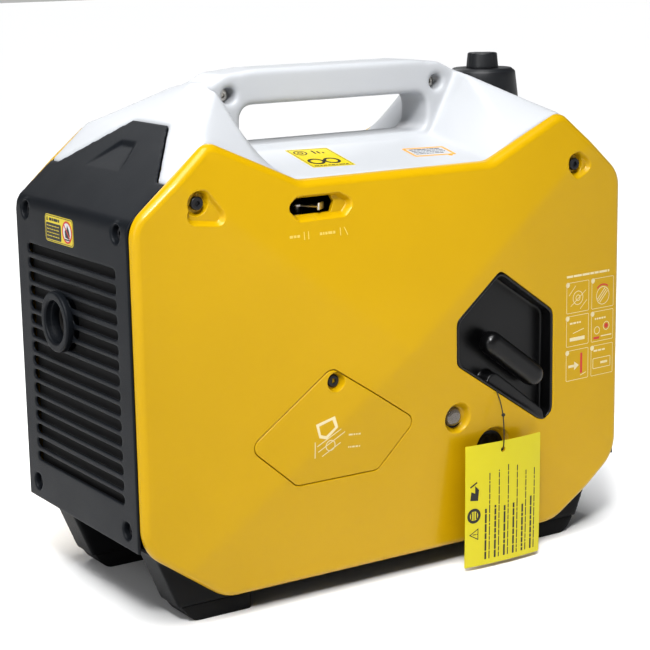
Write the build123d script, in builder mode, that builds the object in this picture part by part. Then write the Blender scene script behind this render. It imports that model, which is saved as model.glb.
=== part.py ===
from build123d import *

import os
from math import cos, hypot, radians, sin

# Portable inverter generator, modelled as an assembly of separate named pieces.
#
# Units are millimetres. +Z is up, +X points to the control-panel end, -Y to the starter side.
# The origin is the centre of the footprint, on the ground under the rubber feet.

os.makedirs("parts", exist_ok=True)

# ---- Driving dimensions ------------------------------------------------------------------
half_length = 250.0  # side panels, from the middle to either end
half_width = 106.0  # plane where a side panel meets the body
end_low_z = 72.5  # bottom of the vertical end edge of a side panel
end_high_z = 338.8  # top of that edge
peak_x = 180.0  # the two upper corners of a side panel
peak_z = 398.6
notch_x = 97.0  # ends of the dip under the handle
notch_z = 361.0
sole_x = 175.0  # ends of the flat bottom edge
sole_z = 18.9
rim_depth = 7.0  # straight side of a panel's rim
apex_depth = 27.3  # how far the middle of the panel stands out from half_width
panel_wall = 3.0
cover_wall = 3.0
seam = 0.3  # visible gap between neighbouring covers
tight = 0.03  # radial running clearance of shafts
loose = 0.3  # clearance between pieces that slide or lift off
end_x = half_length + 2.0  # outer face of the two end covers
handle_top_z = 445.0
handle_half_width = 22.0
grip_low_z = 415.0  # underside of the handle bar
deck_z = 381.0  # middle of the deck under the handle
crank_x = 90.0  # crankshaft axis, along Y
crank_z = 150.0
cylinder_tilt = 20.0  # degrees above horizontal, towards -X
bore_radius = 26.0
stroke = 44.0
cap_x = 177.0  # fuel cap axis
cap_radius = 34.0
foot_height = 14.0
outlet_y = 24.0  # exhaust outlet
outlet_z = 241.0

mid_z = (peak_z + sole_z) / 2
side_y = half_width - seam  # outer side of the body between the two panels
slope = (peak_z - end_high_z) / (half_length - peak_x)


def save(part, name):
    """Label a finished piece and write its STEP file."""
    part.label = name
    export_step(part, f"parts/{name}.step")


def slope_z(x):
    """Height of the sloped shoulder plane above a distance x from the middle."""
    return end_high_z + slope * (half_length - x)


# ---- Side panels -------------------------------------------------------------------------
outline = [
    (-half_length, end_low_z),
    (-half_length, end_high_z),
    (-peak_x, peak_z),
    (-notch_x, notch_z),
    (notch_x, notch_z),
    (peak_x, peak_z),
    (half_length, end_high_z),
    (half_length, end_low_z),
    (sole_x, sole_z),
    (-sole_x, sole_z),
]
outline_radii = [30, 24, 12, 20, 20, 12, 24, 30, 30, 30]
rim_round = 4.0
half_height = (peak_z - sole_z) / 2


def facet_block(inset, depth_inset):
    """The panel's solid form: its outline cut back to a shallow four-sided pyramid."""
    deep = half_width + apex_depth - depth_inset
    rim = half_width + rim_depth - depth_inset
    with BuildPart() as block:
        with BuildSketch(Plane.XZ.offset(half_width)):
            with BuildLine():
                FilletPolyline(*outline, radius=outline_radii, close=True)
            make_face()
            if inset:
                offset(amount=-inset, kind=Kind.INTERSECTION)
        extrude(amount=apex_depth)
        with BuildSketch(Plane.XY):
            with BuildLine():
                Polyline(
                    (-half_length, -half_width),
                    (-half_length, -rim),
                    (0, -deep),
                    (half_length, -rim),
                    (half_length, -half_width),
                    close=True,
                )
            make_face()
        extrude(amount=peak_z, mode=Mode.INTERSECT)
        with BuildSketch(Plane.YZ.offset(-half_length)):
            with BuildLine():
                Polyline(
                    (-half_width, mid_z - half_height),
                    (-rim, mid_z - half_height),
                    (-deep, mid_z),
                    (-rim, mid_z + half_height),
                    (-half_width, mid_z + half_height),
                    close=True,
                )
            make_face()
        extrude(amount=2 * half_length, mode=Mode.INTERSECT)
    return block.part


def facet_y(x, z):
    """Outer face of the starter-side panel, as a negative y, at one place."""
    fall = (apex_depth - rim_depth) * max(abs(x) / half_length, abs(z - mid_z) / half_height)
    return -(half_width + apex_depth - fall)


with BuildPart() as outer_block:
    add(facet_block(0, 0))
    rim_edges = [
        e for e in outer_block.edges()
        if abs(facet_y(e.center().X, e.center().Z) - e.center().Y) < 0.5
        and max(abs(e.center().X) / half_length, abs(e.center().Z - mid_z) / half_height) > 0.7
    ]
    fillet(rim_edges, radius=rim_round)

with BuildPart() as panel_shell:
    add(outer_block.part)
    add(facet_block(panel_wall, panel_wall), mode=Mode.SUBTRACT)

screw_x = 193.0  # upper corner screws of a side panel
screw_z = 351.0
screw_seat_y = half_width + 5.0
recess_radius = 9.5
panel_screw_spots = [(-screw_x, screw_z), (screw_x, screw_z)]


with BuildPart() as seat_bosses:
    with BuildSketch(Plane.XZ.offset(half_width)):
        with Locations(*panel_screw_spots):
            Circle(recess_radius + 2)
    extrude(amount=apex_depth)
    add(facet_block(0, 1), mode=Mode.INTERSECT)

with BuildPart() as seat_holes:
    with BuildSketch(Plane.XZ.offset(screw_seat_y)):
        with Locations(*panel_screw_spots):
            Circle(recess_radius)
    extrude(amount=apex_depth)
    with BuildSketch(Plane.XZ.offset(half_width - 1)):
        with Locations(*panel_screw_spots):
            Circle(2.6)
    extrude(amount=apex_depth)


# Service door outline, starter side.
door_outline = [(-78, 205), (8, 147), (-30, 107), (-112, 107), (-156, 146)]
door_round = 9.0
door_gap = 0.6
door_screw = (-74.0, 192.0)
door_screw_seat = 8.0  # depth of the door's screw pocket
door_screw_hole = 2.6


def door_sketch(shrink):
    """The door's rounded outline, pulled in by shrink, as a sketch on the body plane."""
    with BuildSketch(Plane.XZ.offset(half_width)) as sketch:
        with BuildLine():
            Polyline(*door_outline, close=True)
        make_face()
        fillet(vertices(), radius=door_round)
        offset(amount=-shrink)
    return sketch.sketch


bezel_outline = [(101, 266), (165, 222), (165, 112), (50, 188), (50, 227)]
bezel_round = 11.0
bezel_wall = 3.0
bezel_back_y = half_width - 2.0  # the pocket floor behind the grip


def bezel_sketch(y, shrink):
    """The starter pocket's rounded outline, pulled in by shrink, on the plane at -y."""
    with BuildSketch(Plane.XZ.offset(y)) as sketch:
        with BuildLine():
            Polyline(*bezel_outline, close=True)
        make_face()
        fillet(vertices(), radius=bezel_round)
        offset(amount=-shrink)
    return sketch.sketch


choke_outline = [(-114, 340), (-102, 349), (-63, 349), (-46, 341), (-58, 328), (-103, 328)]
choke_floor_y = half_width + 7.0
choke_slot_x = (-112.0, -66.0)
choke_z = 338.5
choke_slot_height = 9.0
bulb_x, bulb_z, bulb_radius = 51.0, 141.0, 8.5
plug_x, plug_z, plug_radius = 93.0, 106.0, 15.0
bulb_recess_radius = 13.0

with BuildPart() as side_panel_near:
    add(panel_shell.part)
    add(seat_bosses.part)
    add(seat_holes.part, mode=Mode.SUBTRACT)
    with BuildSketch(Plane.XZ.offset(choke_floor_y - 2)):
        with BuildLine():
            Polyline(*choke_outline, close=True)
        make_face()
        offset(amount=2)
    extrude(amount=rim_depth + 1)
    with BuildSketch(Plane.XZ.offset(choke_floor_y)):
        with BuildLine():
            Polyline(*choke_outline, close=True)
        make_face()
        offset(amount=-4, kind=Kind.INTERSECTION)
    extrude(amount=apex_depth, taper=-38, mode=Mode.SUBTRACT)
    with BuildSketch(Plane.XZ.offset(half_width)):
        with Locations(((choke_slot_x[0] + choke_slot_x[1]) / 2 + 1, choke_z)):
            SlotOverall(choke_slot_x[1] - choke_slot_x[0] - 4, choke_slot_height)
    extrude(amount=apex_depth, mode=Mode.SUBTRACT)
    add(extrude(door_sketch(0), amount=apex_depth, mode=Mode.PRIVATE), mode=Mode.SUBTRACT)
    add(
        extrude(bezel_sketch(half_width, -seam), amount=apex_depth, mode=Mode.PRIVATE),
        mode=Mode.SUBTRACT,
    )
    with BuildSketch(Plane.XZ.offset(half_width)):
        with Locations((bulb_x, bulb_z)):
            Circle(bulb_recess_radius)
        with Locations((plug_x, plug_z)):
            Circle(plug_radius + loose)
    extrude(amount=apex_depth, mode=Mode.SUBTRACT)
save(side_panel_near.part, "side_panel_near")

with BuildPart() as side_panel_far:
    add(panel_shell.part)
    add(seat_bosses.part)
    add(seat_holes.part, mode=Mode.SUBTRACT)
    mirror(about=Plane.XZ, mode=Mode.REPLACE)
save(side_panel_far.part, "side_panel_far")

# Service door: the piece of panel inside the door opening, with its own screw pocket.
with BuildPart() as service_door:
    add(panel_shell.part)
    add(
        extrude(door_sketch(door_gap), amount=apex_depth, mode=Mode.PRIVATE),
        mode=Mode.INTERSECT,
    )
    door_seat_y = -facet_y(*door_screw) - door_screw_seat
    with BuildSketch(Plane.XZ.offset(door_seat_y - 2)):
        with Locations(door_screw):
            Circle(recess_radius + 1)
    extrude(amount=door_screw_seat - 1)
    add(
        extrude(door_sketch(door_gap), amount=apex_depth, mode=Mode.PRIVATE),
        mode=Mode.INTERSECT,
    )
    with BuildSketch(Plane.XZ.offset(door_seat_y)):
        with Locations(door_screw):
            Circle(recess_radius - 1)
    extrude(amount=apex_depth, mode=Mode.SUBTRACT)
    with BuildSketch(Plane.XZ.offset(half_width)):
        with Locations(door_screw):
            Circle(door_screw_hole)
    extrude(amount=apex_depth, mode=Mode.SUBTRACT)
save(service_door.part, "service_door")

near_out = Vector(0, -1, 0)
far_out = Vector(0, 1, 0)
screw_head_radius = 5.5
screw_head_height = 3.5
screw_socket = 2.5


def screw(plane, length, shank_radius=2.3, head_radius=screw_head_radius):
    """A pan-head screw: its head stands on the plane, its shank runs down the other way."""
    with BuildPart() as piece:
        with BuildSketch(plane):
            Circle(head_radius)
        extrude(amount=screw_head_height)
        fillet(piece.faces().sort_by(Axis(plane.origin, plane.z_dir))[-1].edges(), 1.2)
        with BuildSketch(plane.offset(screw_head_height)):
            RegularPolygon(screw_socket, 6)
        extrude(amount=-2, mode=Mode.SUBTRACT)
        with BuildSketch(plane):
            Circle(shank_radius)
        extrude(amount=-length)
    return piece.part


def screw_group(name, planes, length, **sizes):
    """Several identical screws as separate solids of one node."""
    save(Compound(children=[screw(plane, length, **sizes) for plane in planes]), name)


panel_screw_planes = [
    Plane(origin=(x, -screw_seat_y, z), z_dir=near_out) for x, z in panel_screw_spots
] + [Plane(origin=(x, screw_seat_y, z), z_dir=far_out) for x, z in panel_screw_spots]
panel_screws = [screw(plane, 5.2) for plane in panel_screw_planes]
door_screw_plane = Plane(origin=(door_screw[0], -door_seat_y, door_screw[1]), z_dir=near_out)
save(screw(door_screw_plane, 12), "service_door_screw")

# ---- Black end covers --------------------------------------------------------------------
bend_radius = 16.0
tongue_low_half, tongue_high_half = 92.0, 31.0
tongue_low_x, tongue_high_x = 216.0, 172.0
end_bottom_z = 70.0


def end_shell(plan):
    """Vertical end wall that bends into the shoulder slope, trimmed to a plan outline."""
    top_x = tongue_high_x - 10
    with BuildPart() as shell:
        with BuildSketch(Plane.XZ.offset(-side_y)):
            with BuildLine():
                Polyline(
                    (-end_x, end_bottom_z),
                    (-end_x, slope_z(end_x)),
                    (-top_x, slope_z(top_x)),
                    (-top_x, end_bottom_z),
                    close=True,
                )
            corner = make_face()
            fillet(corner.vertices().sort_by(Axis.X)[:2].sort_by(Axis.Z)[-1], bend_radius)
        extrude(amount=2 * side_y)
        with BuildSketch(Plane.XZ.offset(-side_y)):
            rise = hypot(1, slope) * cover_wall
            with BuildLine():
                Polyline(
                    (-end_x + cover_wall, end_bottom_z),
                    (-end_x + cover_wall, slope_z(end_x - cover_wall) - rise),
                    (-top_x, slope_z(top_x) - rise),
                    (-top_x, end_bottom_z),
                    close=True,
                )
            inner = make_face()
            fillet(
                inner.vertices().sort_by(Axis.X)[:2].sort_by(Axis.Z)[-1],
                bend_radius - cover_wall,
            )
        extrude(amount=2 * side_y, mode=Mode.SUBTRACT)
        with BuildSketch(Plane.XY):
            with BuildLine():
                Polyline(*plan, close=True)
            make_face()
        extrude(amount=peak_z + 40, mode=Mode.INTERSECT)
    return shell.part


tongue_plan = [
    (-end_x - 1, -side_y),
    (-tongue_low_x, -side_y),
    (-tongue_low_x, -tongue_low_half),
    (-tongue_high_x, -tongue_high_half),
    (-tongue_high_x, tongue_high_half),
    (-tongue_low_x, tongue_low_half),
    (-tongue_low_x, side_y),
    (-end_x - 1, side_y),
]
end_screw_y = 86.5
end_screw_z = (86.0, 329.0)
slat_low_z, slat_high_z = 111.0, 296.5
slat_count = 16
slat_half_width = 84.0
slat_opening = 7.4
outlet_radius = 26.0
outlet_hole_radius = 20.0
pocket_depth = 8.0


end_spots = [(y, z) for y in (-end_screw_y, end_screw_y) for z in end_screw_z]

# Tubular pockets that sink the four corner screws of an end cover, drawn at the -X end.
with BuildPart() as pocket_tubes:
    with BuildSketch(Plane.YZ.offset(-end_x + pocket_depth + 2)):
        with Locations(*end_spots):
            Circle(recess_radius)
    extrude(amount=-pocket_depth - 1)

with BuildPart() as pocket_bores:
    with BuildSketch(Plane.YZ.offset(-end_x + pocket_depth)):
        with Locations(*end_spots):
            Circle(recess_radius - 2)
    extrude(amount=-pocket_depth - 5)
    with BuildSketch(Plane.YZ.offset(-end_x + pocket_depth + 3)):
        with Locations(*end_spots):
            Circle(2.6)
    extrude(amount=-pocket_depth)

recess_offset = -2.0
recess_tilt = 4.5  # degrees that the finger recess dips under the tongue's surface
recess_plane = Plane(
    origin=(-215, 0, slope_z(215)), x_dir=(0, -1, 0),
    z_dir=(
        -slope * cos(radians(recess_tilt)) + sin(radians(recess_tilt)),
        0,
        cos(radians(recess_tilt)) + slope * sin(radians(recess_tilt)),
    ),
)
with BuildPart() as rear_cover:
    add(end_shell(tongue_plan))
    with BuildSketch(Plane.YZ.offset(-end_x - 1)):
        slat_middle = (slat_low_z + slat_high_z) / 2
        slat_pitch = (slat_high_z - slat_low_z) / (slat_count - 1)
        with Locations((0, slat_middle)):
            with GridLocations(0, slat_pitch, 1, slat_count):
                SlotOverall(2 * slat_half_width, slat_opening)
        with Locations((outlet_y, outlet_z)):
            Circle(outlet_radius - 1.5, mode=Mode.SUBTRACT)
    extrude(amount=cover_wall + 2, mode=Mode.SUBTRACT)
    with BuildSketch(Plane.YZ.offset(-end_x - 1)):
        with Locations((outlet_y, outlet_z)):
            Circle(outlet_hole_radius)
    extrude(amount=cover_wall + 2, mode=Mode.SUBTRACT)
    with BuildSketch(recess_plane):
        with BuildLine():
            Polyline(
                (recess_offset - 16, 30), (recess_offset + 8, 30),
                (recess_offset + 26, -1), (recess_offset - 40, -1),
                close=True,
            )
        make_face()
        fillet(vertices(), 2)
    extrude(amount=6, taper=-35, mode=Mode.SUBTRACT)
    add(pocket_tubes.part)
    add(pocket_bores.part, mode=Mode.SUBTRACT)
save(rear_cover.part, "rear_cover")

console_y = 85.0  # half width and heights of the control-panel opening
console_low_z, console_high_z = 106.0, 304.0
console_round = 8.0
shoulder_plan = [
    (-end_x - 1, -side_y),
    (-tongue_low_x, -side_y),
    (-tongue_low_x, side_y),
    (-end_x - 1, side_y),
]
with BuildPart() as front_cover:
    add(end_shell(shoulder_plan))
    with BuildSketch(Plane.YZ.offset(-end_x - 1)):
        with Locations((0, (console_low_z + console_high_z) / 2)):
            RectangleRounded(2 * console_y - 10, console_high_z - console_low_z, console_round)
    extrude(amount=cover_wall + 2, mode=Mode.SUBTRACT)
    add(pocket_tubes.part)
    add(pocket_bores.part, mode=Mode.SUBTRACT)
    mirror(about=Plane.YZ, mode=Mode.REPLACE)
save(front_cover.part, "front_cover")

rear_planes = [
    Plane(origin=(-end_x + pocket_depth, y, z), z_dir=(-1, 0, 0)) for y, z in end_spots
]
front_planes = [
    Plane(origin=(end_x - pocket_depth, y, z), z_dir=(1, 0, 0)) for y, z in end_spots
]
end_screws = [screw(plane, 12) for plane in rear_planes + front_planes]
save(Compound(children=panel_screws + end_screws), "cover_screws")

# ---- White top cover, in two halves ------------------------------------------------------
skirt = 14.0  # how far the cover's side walls hang below its edge
crown = 0.6  # slight dome of the flat areas
roof_wall = 6.0  # upright thickness of the cover's roof, which slopes steeply in places


def cover_sections(inset):
    """Stations (x, middle z, shoulder y, shoulder z, edge z) of the top cover's form."""
    stations = [
        (tongue_low_x - seam, slope_z(tongue_low_x) + 2 * crown, 98.0),
        (peak_x, peak_z + 2 * crown, 98.0),
        (130.0, 437.0, 37.0),
        (notch_x + 3, deck_z, 24.0),
    ]
    edges = [
        slope_z(tongue_low_x),
        peak_z,
        notch_z + (peak_z - notch_z) * (130.0 - notch_x) / (peak_x - notch_x),
        notch_z,
    ]
    shoulders = [edges[0] + crown, edges[1] + crown, 431.0, deck_z - 4.5]
    return [
        (x, top - inset, shoulder, shoulder_z - inset, edge_z - inset)
        for (x, top, shoulder), shoulder_z, edge_z in zip(stations, shoulders, edges)
    ]


def cover_block(inset, roof, drop):
    """The closed form of the top cover, pulled in at the sides and roof, hanging by drop."""
    half = side_y - inset
    rows = cover_sections(roof)
    rows = [(-x, *rest) for x, *rest in rows] + [(x, *rest) for x, *rest in reversed(rows)]
    with BuildPart() as block:
        for x, top, shoulder, shoulder_z, edge_z in rows:
            with BuildSketch(Plane.YZ.offset(x)):
                with BuildLine():
                    Polyline(
                        (-half, edge_z - drop),
                        (-half, edge_z),
                        (-shoulder, shoulder_z),
                        (0, top),
                        (shoulder, shoulder_z),
                        (half, edge_z),
                        (half, edge_z - drop),
                        close=True,
                    )
                make_face()
        loft(ruled=True)
    return block.part


handle_profile = [
    (-140, 428),
    (-112, 442),
    (-80, handle_top_z),
    (80, handle_top_z),
    (112, 442),
    (140, 428),
    (122, 372),
    (-122, 372),
]
grip_half_length = 98.0
handle_screw_x, handle_screw_z = 108.0, 424.0
handle_seat_y = 6.0
neck_hole_radius = cap_radius + 3.0
cap_seat_z = 398.0

with BuildPart() as top_form:
    add(cover_block(0, 0, skirt))
    with BuildSketch(Plane.XZ.offset(-handle_half_width)) as handle_face:
        with BuildLine():
            Polyline(*handle_profile, close=True)
        make_face()
    extrude(amount=2 * handle_half_width)
    add(cover_block(cover_wall, roof_wall, skirt + 10), mode=Mode.SUBTRACT)
    with BuildSketch(Plane.XZ.offset(-handle_half_width - 40)):
        with Locations((0, (grip_low_z + deck_z) / 2)):
            RectangleRounded(2 * grip_half_length, grip_low_z - deck_z, 12)
    extrude(amount=2 * handle_half_width + 80, mode=Mode.SUBTRACT)
    with BuildSketch(Plane.XY.offset(cap_seat_z - 60)):
        with Locations((cap_x, 0)):
            Circle(neck_hole_radius)
    extrude(amount=140, mode=Mode.SUBTRACT)
    with BuildSketch(Plane.XY.offset(end_bottom_z)):
        with BuildLine():
            Polyline(*tongue_plan, close=True)
        make_face()
        offset(amount=seam, kind=Kind.INTERSECTION)
    extrude(amount=handle_top_z, mode=Mode.SUBTRACT)

for side, name in ((-1, "top_cover_near"), (1, "top_cover_far")):
    with BuildPart() as half_cover:
        add(top_form.part)
        with BuildSketch(Plane.XY.offset(end_low_z)):
            with Locations((0, side * half_width / 2)):
                Rectangle(2 * half_length, half_width)
        extrude(amount=handle_top_z, mode=Mode.INTERSECT)
        with BuildSketch(Plane.XZ):
            with Locations((-handle_screw_x, handle_screw_z), (handle_screw_x, handle_screw_z)):
                Circle(2.3 + tight)
        extrude(amount=half_width, both=True, mode=Mode.SUBTRACT)
        if side < 0:
            with BuildSketch(Plane.XZ.offset(handle_seat_y)):
                with Locations(
                    (-handle_screw_x, handle_screw_z), (handle_screw_x, handle_screw_z)
                ):
                    Circle(7)
            extrude(amount=half_width, mode=Mode.SUBTRACT)
    save(half_cover.part, name)

handle_planes = [
    Plane(origin=(x, -handle_seat_y, handle_screw_z), z_dir=near_out)
    for x in (-handle_screw_x, handle_screw_x)
]
screw_group("handle_screws", handle_planes, handle_seat_y + 12)

# ---- Base pan and feet -------------------------------------------------------------------
pan_half_width = side_y - 2.0
pan_wall = 3.0
pan_floor_z = sole_z + 3.0
pan_end_x = end_x - cover_wall - seam
pan_rim_z = 75.0
foot_y = 81.0  # middle of a foot
foot_half_width = 17.0
foot_in_x, foot_out_x = 142.0, 213.0
mount_x = (56.0, 124.0)
mount_y = (6.0, 58.0)
mount_low_z = 66.0


def pan_profile(inset):
    """Side view of the base pan, pulled in by inset."""
    return [
        (-pan_end_x + inset, pan_rim_z),
        (-pan_end_x + inset, end_low_z + inset / 2),
        (-sole_x + inset / 2, pan_floor_z + inset),
        (sole_x - inset / 2, pan_floor_z + inset),
        (pan_end_x - inset, end_low_z + inset / 2),
        (pan_end_x - inset, pan_rim_z),
    ]


foot_spots = [(sx * (foot_in_x + foot_out_x) / 2, sy * foot_y) for sx in (-1, 1) for sy in (-1, 1)]
foot_screw_length = 18.0
foot_screw_seat_z = 6.0

with BuildPart() as base_pan:
    with BuildSketch(Plane.XZ.offset(-pan_half_width)):
        with BuildLine():
            Polyline(*pan_profile(0), close=True)
        make_face()
    extrude(amount=2 * pan_half_width)
    with BuildSketch(Plane.XZ.offset(-pan_half_width + pan_wall)):
        with BuildLine():
            Polyline(*pan_profile(pan_wall), close=True)
        make_face()
    extrude(amount=2 * (pan_half_width - pan_wall), mode=Mode.SUBTRACT)
    for sx in (-1, 1):
        for sy in (-1, 1):
            low_y = sy * foot_y + foot_half_width
            with BuildSketch(Plane.XZ.offset(-low_y)):
                with BuildLine():
                    Polyline(
                        (sx * (foot_out_x + 20), end_low_z - 10),
                        (sx * foot_out_x, foot_height),
                        (sx * (foot_in_x - 3), foot_height),
                        (sx * (foot_in_x - 8), pan_floor_z + pan_wall),
                        (sx * sole_x, pan_floor_z + pan_wall),
                        close=True,
                    )
                make_face()
            extrude(amount=2 * foot_half_width)
    with BuildSketch(Plane.XY.offset(pan_floor_z)):
        with GridLocations(mount_x[1] - mount_x[0], mount_y[1] - mount_y[0], 2, 2):
            Circle(11)
    pedestals = extrude(amount=mount_low_z - pan_floor_z, mode=Mode.PRIVATE)
    add(pedestals.moved(Location(((mount_x[0] + mount_x[1]) / 2, (mount_y[0] + mount_y[1]) / 2, 0))))
    with BuildSketch(Plane.XY):
        with Locations(*foot_spots):
            Circle(2.6)
    extrude(amount=foot_screw_seat_z + foot_screw_length + 1, mode=Mode.SUBTRACT)
save(base_pan.part, "base_pan")

with BuildPart() as foot_blank:
    middle_x = foot_spots[-1][0]
    with BuildSketch(Plane.XZ.offset(-foot_half_width + 1)):
        with BuildLine():
            FilletPolyline(
                (foot_in_x - 4 - middle_x, foot_height),
                (foot_out_x - 3 - middle_x, foot_height),
                (foot_out_x - 13 - middle_x, 0),
                (foot_in_x + 1 - middle_x, 0),
                radius=[0.5, 0.5, 14, 3],
                close=True,
            )
        make_face()
    extrude(amount=2 * foot_half_width - 2)
    with BuildSketch(Plane.XY):
        with Locations((0, 0)):
            RectangleRounded(foot_out_x - foot_in_x + 2, 2 * foot_half_width - 2, 7)
    extrude(amount=foot_height, mode=Mode.INTERSECT)
    with Locations((0, 0, 0)):
        Cylinder(2.6, 3 * foot_height, mode=Mode.SUBTRACT)
        Cylinder(6.5, 2 * foot_screw_seat_z, mode=Mode.SUBTRACT)

feet = []
for sx in (-1, 1):
    with BuildPart() as foot:
        add(foot_blank.part)
        if sx < 0:
            mirror(about=Plane.YZ, mode=Mode.REPLACE)
    for sy in (-1, 1):
        feet.append(foot.part.moved(Location((sx * foot_spots[-1][0], sy * foot_y, 0))))
save(Compound(children=feet), "rubber_feet")
foot_planes = [
    Plane(origin=(x, y, foot_screw_seat_z), z_dir=(0, 0, -1)) for x, y in foot_spots
]
screw_group("foot_screws", foot_planes, foot_screw_length)

# ---- Recoil starter ----------------------------------------------------------------------
housing_radius = 70.0
housing_back_y = half_width - 6.0  # flat back of the recoil housing, towards the side panel
housing_depth = 20.0
reel_radius = 44.0
reel_post_radius = 6.0
eyelet = (119.0, 183.0)
rope_radius = 1.8
grip_angle = -37.0
grip_length = 78.0
grip_thickness = 21.0
grip_back_y = half_width + 4.0
grip_front_y = half_width + 21.0
crank_plane = Plane.XZ.offset(housing_back_y)

with BuildPart() as recoil_bezel:
    add(extrude(bezel_sketch(bezel_back_y, 0), amount=apex_depth + 3, mode=Mode.PRIVATE))
    add(outer_block.part, mode=Mode.INTERSECT)
    add(extrude(bezel_sketch(bezel_back_y, 0), amount=half_width - bezel_back_y, mode=Mode.PRIVATE))
    add(
        extrude(bezel_sketch(bezel_back_y + 2, bezel_wall), amount=apex_depth + 3,
                mode=Mode.PRIVATE),
        mode=Mode.SUBTRACT,
    )
    with BuildSketch(Plane.XZ.offset(bezel_back_y - 1)):
        with Locations(eyelet):
            Circle(5)
    extrude(amount=5, mode=Mode.SUBTRACT)
    ledge_plane = Plane(
        origin=(121, -bezel_back_y, 146), x_dir=(cos(radians(-38)), 0, sin(radians(-38))),
        z_dir=near_out,
    )
    with BuildSketch(ledge_plane):
        SlotOverall(78, 17)
    extrude(amount=17)
    split_tool = extrude(bezel_sketch(bezel_back_y, 0), amount=apex_depth + 3, mode=Mode.PRIVATE)
    add(split_tool, mode=Mode.INTERSECT)
save(recoil_bezel.part, "recoil_bezel")

grip_plane = Plane(
    origin=(eyelet[0], -grip_back_y, eyelet[1]),
    x_dir=(cos(radians(grip_angle)), 0, sin(radians(grip_angle))),
    z_dir=near_out,
)
with BuildPart() as recoil_grip:
    with BuildSketch(grip_plane.offset(3)):
        SlotOverall(grip_length, grip_thickness)
    extrude(amount=grip_front_y - grip_back_y - 3)
    fillet(recoil_grip.faces().sort_by(Axis.Y)[0].edges(), 8)
    with BuildSketch(grip_plane):
        Circle(6)
    extrude(amount=4)
    with BuildSketch(grip_plane):
        Circle(rope_radius)
    extrude(amount=8, mode=Mode.SUBTRACT)
save(recoil_grip.part, "recoil_grip")

with BuildPart() as starter_rope:
    with BuildSketch(Plane.XZ.offset(housing_back_y - 1.0)):
        with Locations(eyelet):
            Circle(rope_radius)
    extrude(amount=grip_back_y + 7.5 - housing_back_y + 1.0)
save(starter_rope.part, "starter_rope")

with BuildPart() as recoil_housing:
    with BuildSketch(crank_plane):
        with Locations((crank_x, crank_z)):
            Circle(housing_radius)
    extrude(amount=-housing_depth)
    with BuildSketch(crank_plane.offset(-2.5)):
        with Locations((crank_x, crank_z)):
            Circle(housing_radius - 3)
    extrude(amount=-housing_depth, mode=Mode.SUBTRACT)
    with BuildSketch(crank_plane.offset(-2.5)):
        with Locations((crank_x, crank_z)):
            Circle(reel_post_radius)
    extrude(amount=-13)
    with BuildSketch(crank_plane.offset(1)):
        with Locations(eyelet):
            Circle(5)
    extrude(amount=-5, mode=Mode.SUBTRACT)
save(recoil_housing.part, "recoil_housing")

reel_front_y = housing_back_y - 6.5
with BuildPart() as starter_reel:
    with BuildSketch(Plane.XZ.offset(reel_front_y)):
        with Locations((crank_x, crank_z)):
            Circle(reel_radius)
            Circle(reel_post_radius + tight, mode=Mode.SUBTRACT)
    extrude(amount=-8)
    with BuildSketch(Plane.XZ.offset(reel_front_y - 2)):
        with Locations((crank_x, crank_z)):
            Circle(reel_radius + 1)
            Circle(reel_radius - 7, mode=Mode.SUBTRACT)
    extrude(amount=-4, mode=Mode.SUBTRACT)
save(starter_reel.part, "starter_reel")

with BuildPart() as recoil_spring:
    with BuildSketch(Plane.XZ.offset(housing_back_y - 2.5 - loose)):
        with Locations((crank_x, crank_z)):
            Circle(24)
            Circle(10, mode=Mode.SUBTRACT)
    extrude(amount=-3.4)
save(recoil_spring.part, "recoil_spring")

# ---- Primer bulb, plug and choke ---------------------------------------------------------
primer_seat_y = -facet_y(bulb_x, bulb_z) - 7.0
with BuildPart() as primer_body:
    with BuildSketch(Plane.XZ.offset(half_width - 3)):
        with Locations((bulb_x, bulb_z)):
            Circle(bulb_recess_radius - loose)
    extrude(amount=primer_seat_y - half_width + 3)
    with BuildSketch(Plane.XZ.offset(half_width)):
        with Locations((bulb_x, bulb_z)):
            Circle(bulb_radius + tight)
    extrude(amount=apex_depth, mode=Mode.SUBTRACT)
save(primer_body.part, "primer_body")

with BuildPart() as primer_bulb:
    with BuildSketch(Plane.XZ.offset(half_width + 8.5)):
        with Locations((bulb_x, bulb_z)):
            Circle(bulb_radius)
    extrude(amount=primer_seat_y + 5.5 - half_width - 8.5)
    fillet(primer_bulb.faces().sort_by(Axis.Y)[0].edges(), 5)
save(primer_bulb.part, "primer_bulb")

plug_face_y = -facet_y(plug_x, plug_z)
with BuildPart() as drain_plug:
    with BuildSketch(Plane.XZ.offset(half_width - 1)):
        with Locations((plug_x, plug_z)):
            Circle(plug_radius)
    extrude(amount=plug_face_y - half_width - 2)
    with BuildSketch(Plane.XZ.offset(plug_face_y - 4)):
        with Locations((plug_x, plug_z)):
            Circle(plug_radius - 4)
            Rectangle(3, 2 * plug_radius - 8, mode=Mode.SUBTRACT)
    extrude(amount=4, mode=Mode.SUBTRACT)
save(drain_plug.part, "drain_plug")

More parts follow.
